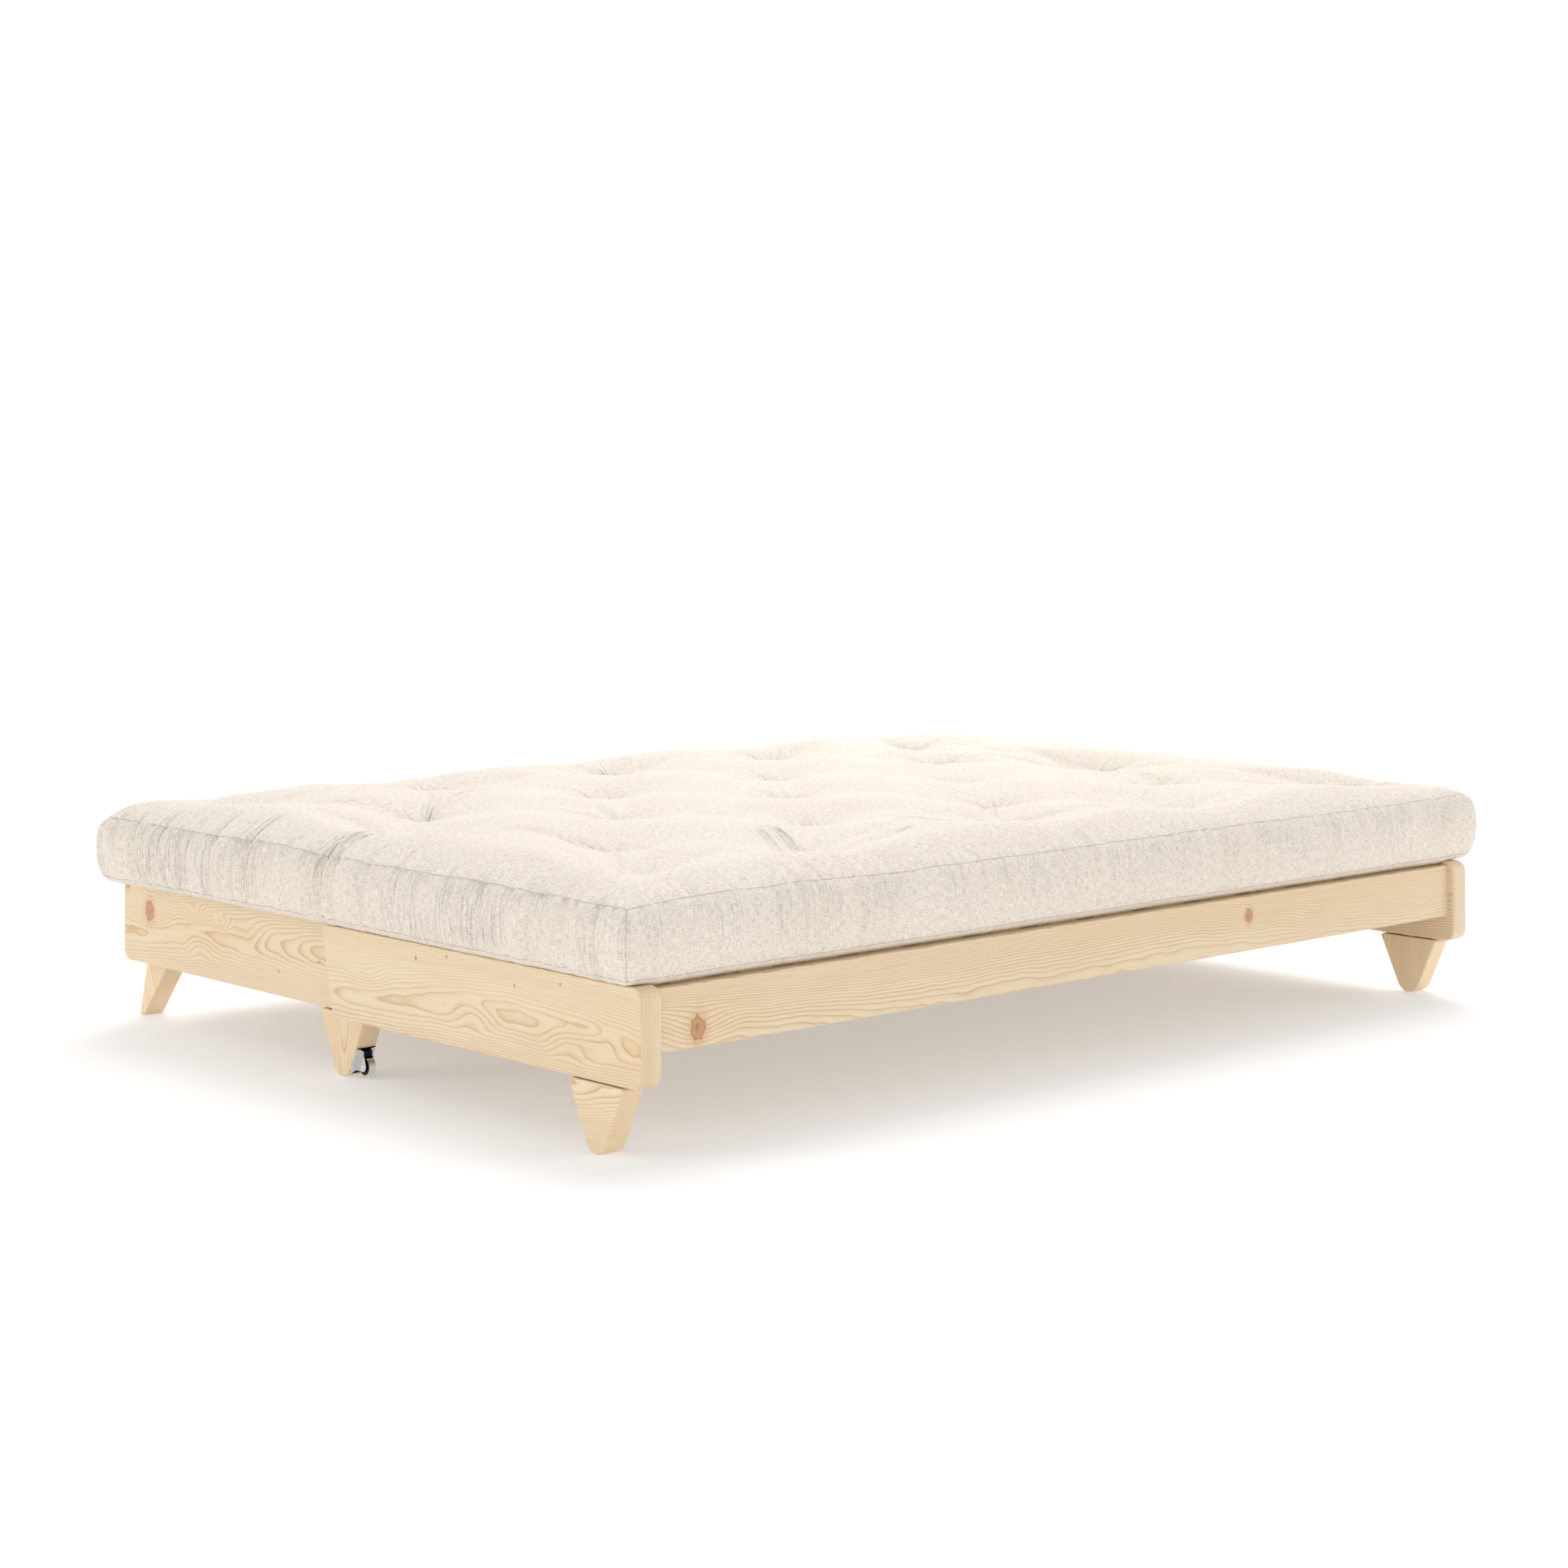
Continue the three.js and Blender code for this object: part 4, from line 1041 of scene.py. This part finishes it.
def lay_out_panels(piece):
    """Two flat layouts in metres: each panel's own warp and weft, and the run round the seam."""
    mesh = piece.data
    co = read_points(mesh)
    band = read_band(mesh)
    starts = np.array([face.loop_start for face in mesh.polygons])
    sizes = np.array([face.loop_total for face in mesh.polygons])
    corner_point = np.zeros(len(mesh.loops), int)
    mesh.loops.foreach_get("vertex_index", corner_point)
    middle = np.add.reduceat(co[corner_point], starts, axis=0) / sizes[:, None]
    band_high = np.maximum.reduceat(band[corner_point], starts)
    band_low = np.minimum.reduceat(band[corner_point], starts)
    _, side, _ = round_the_edge(middle[:, 0], middle[:, 1])
    face_of = np.repeat(np.arange(len(starts)), sizes)
    on_side = ((band_high > ON_TOP) & (band_low < AT_FOOT))[face_of]
    x, y = co[corner_point, 0], co[corner_point, 1]
    run = np.choose(side[face_of], edge_runs(x, y))
    gap = np.where(on_side, -SIDE_LENGTH * band[corner_point], edge_distance(x, y))
    panel = np.where(on_side[:, None], np.column_stack([run + SIDE_PANEL_AT, gap]),
                     np.column_stack([x, y]))
    for name, layout in (("weave", panel), ("gathers", np.column_stack([run, gap]))):
        layer = mesh.uv_layers.new(name=name)
        layer.data.foreach_set("uv", layout.astype(np.float32).ravel())


def tube(name, path, radius, sides=6, closed=False):
    """A thin tube along a path, built as a mesh."""
    path = np.asarray(path, float)
    if closed:
        tangent = np.roll(path, -1, 0) - np.roll(path, 1, 0)
    else:
        tangent = np.gradient(path, axis=0)
    tangent /= np.linalg.norm(tangent, axis=1)[:, None]
    helper = np.where(np.abs(tangent[:, 2:3]) > 0.8, [[1.0, 0.0, 0.0]], [[0.0, 0.0, 1.0]])
    across = np.cross(tangent, helper)
    across /= np.linalg.norm(across, axis=1)[:, None]
    above = np.cross(across, tangent)
    angle = np.arange(sides) * 2 * math.pi / sides
    circle = across[:, None] * np.cos(angle)[:, None] + above[:, None] * np.sin(angle)[:, None]
    co = (path[:, None] + radius * circle).reshape(-1, 3)
    rings = np.arange(len(co)).reshape(len(path), sides)
    nxt = np.roll(rings, -1, 0) if closed else rings[1:]
    cur = rings if closed else rings[:-1]
    faces = np.stack([cur, np.roll(cur, -1, 1), np.roll(nxt, -1, 1), nxt], -1).reshape(-1, 4).tolist()
    if not closed:
        faces += [tuple(rings[0][::-1]), tuple(rings[-1])]
    mesh = bpy.data.meshes.new(name)
    mesh.from_pydata(co.tolist(), [], faces)
    mesh.update()
    for face in mesh.polygons:
        face.use_smooth = True
    return add_object(name, mesh)


futon, plan = futon_shell()
inflate(futon, plan)
ring_size = len(plan["ring"])
foot_start = plan["top"] + (SIDE_ROWS - 1) * ring_size
corner_rank = [int(np.where(plan["ring"] == c)[0][0]) for c in plan["corners"]]
rest_points = read_points(futon.data)
corner_xy = [tuple(rest_points[foot_start + r][:2]) for r in corner_rank]
soften_shoulder(futon)
subdivide(futon)
relief(futon)
smooth_points = read_points(futon.data)
seam_path = smooth_points[plan["ring"]]
corner_paths = [
    np.array([smooth_points[plan["ring"][r]]]
             + [smooth_points[plan["top"] + k * ring_size + r] for k in range(SIDE_ROWS)])
    for r in corner_rank
]
bottom_row = plan["top"] + (BOTTOM_SEAM_ROW - 1) * ring_size
bottom_path = smooth_points[bottom_row:bottom_row + ring_size]
close_bottom(futon, corner_xy)
lay_out_panels(futon)
for face in futon.data.polygons:
    face.use_smooth = True
futon.data.materials.append(linen)
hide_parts("futon_seat", "futon_back", "futon_fold")
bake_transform(futon)

seams = [tube("futon_seam_top", seam_path, THREAD_RADIUS, closed=True)]
for name, path in zip(("front_left", "front_right", "rear_right", "rear_left"), corner_paths):
    seams.append(tube(f"futon_seam_{name}", path[:-1], THREAD_RADIUS))
seams.append(tube("futon_seam_bottom", bottom_path, THREAD_RADIUS, closed=True))
for seam in seams:
    seam.data.materials.append(thread)
    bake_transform(seam)


# ---------- stage, light and camera ----------

def stage_floor():
    size = 30.0
    mesh = bpy.data.meshes.new("floor")
    mesh.from_pydata([(-size, -size, 0), (size, -size, 0), (size, size, 0), (-size, size, 0)], [],
                     [(0, 1, 2, 3)])
    floor = add_object("floor", mesh)
    material, tree, shader = new_material("floor_white")
    coords = tree.nodes.new("ShaderNodeTexCoord").outputs["Object"]
    faint = noise(tree, coords, 3.0, 2.0, 0.5)
    tree.links.new(ramp(tree, faint, ((0.0, (0.70,) * 3), (1.0, (0.72,) * 3))),
                   shader.inputs["Base Color"])
    shader.inputs["Roughness"].default_value = 0.9
    shader.inputs["Emission Color"].default_value = (1.0, 1.0, 1.0, 1.0)
    shader.inputs["Emission Strength"].default_value = FLOOR_GLOW
    mesh.materials.append(material)


stage_floor()


def soft_sun(name, toward, strength, spread):
    """A wide, soft light from far away; toward points from the bed to the light."""
    data = bpy.data.lights.new(name, "SUN")
    data.energy = strength
    data.angle = math.radians(spread)
    add_object(name, data).rotation_euler = Vector(toward).to_track_quat("Z", "Y").to_euler()


def area_light(name, place, target, size, power, colour):
    data = bpy.data.lights.new(name, "AREA")
    data.shape = "RECTANGLE"
    data.size, data.size_y = size
    data.energy = power
    data.color = colour
    light = add_object(name, data)
    light.location = place
    direction = Vector(target) - Vector(place)
    light.rotation_euler = direction.to_track_quat("-Z", "Y").to_euler()


world = bpy.data.worlds.new("studio")
bpy.context.scene.world = world
world.use_nodes = True
background = world.node_tree.nodes["Background"]
background.inputs["Color"].default_value = (1.0, 1.0, 1.0, 1.0)
background.inputs["Strength"].default_value = WORLD_STRENGTH
# the backdrop itself shows white, while the light it casts stays softer
seen = world.node_tree.nodes.new("ShaderNodeBackground")
seen.inputs["Color"].default_value = (1.0, 1.0, 1.0, 1.0)
path = world.node_tree.nodes.new("ShaderNodeLightPath")
choose = world.node_tree.nodes.new("ShaderNodeMixShader")
world.node_tree.links.new(path.outputs["Is Camera Ray"], choose.inputs[0])
world.node_tree.links.new(background.outputs[0], choose.inputs[1])
world.node_tree.links.new(seen.outputs[0], choose.inputs[2])
world.node_tree.links.new(choose.outputs[0], world.node_tree.nodes["World Output"].inputs["Surface"])
soft_sun("sun_front_right", (0.75, -0.58, 0.32), 0.46, 30.0)
soft_sun("sun_left_rear", (-0.80, 0.52, 0.28), 0.62, 30.0)
soft_sun("sun_front", (-0.62, -0.74, 0.42), 0.42, 60.0)
soft_sun("sun_above", (0.45, 0.35, 0.85), 1.48, 40.0)
area_light("glow_right", (2.4, 1.9, 1.5), (0.5, 0.2, 0.36), (2.0, 1.2), 26.0, (1.0, 0.98, 0.95))

camera_data = bpy.data.cameras.new("camera")
camera_data.sensor_width = CAMERA_SENSOR
camera_data.lens = CAMERA_LENS
camera_data.shift_y = CAMERA_SHIFT_Y
camera = add_object("camera", camera_data)
camera.location = CAMERA_PLACE
camera.rotation_euler = (math.radians(90), 0.0, math.radians(CAMERA_YAW))
bpy.context.scene.camera = camera
bpy.context.scene.view_settings.view_transform = "Standard"
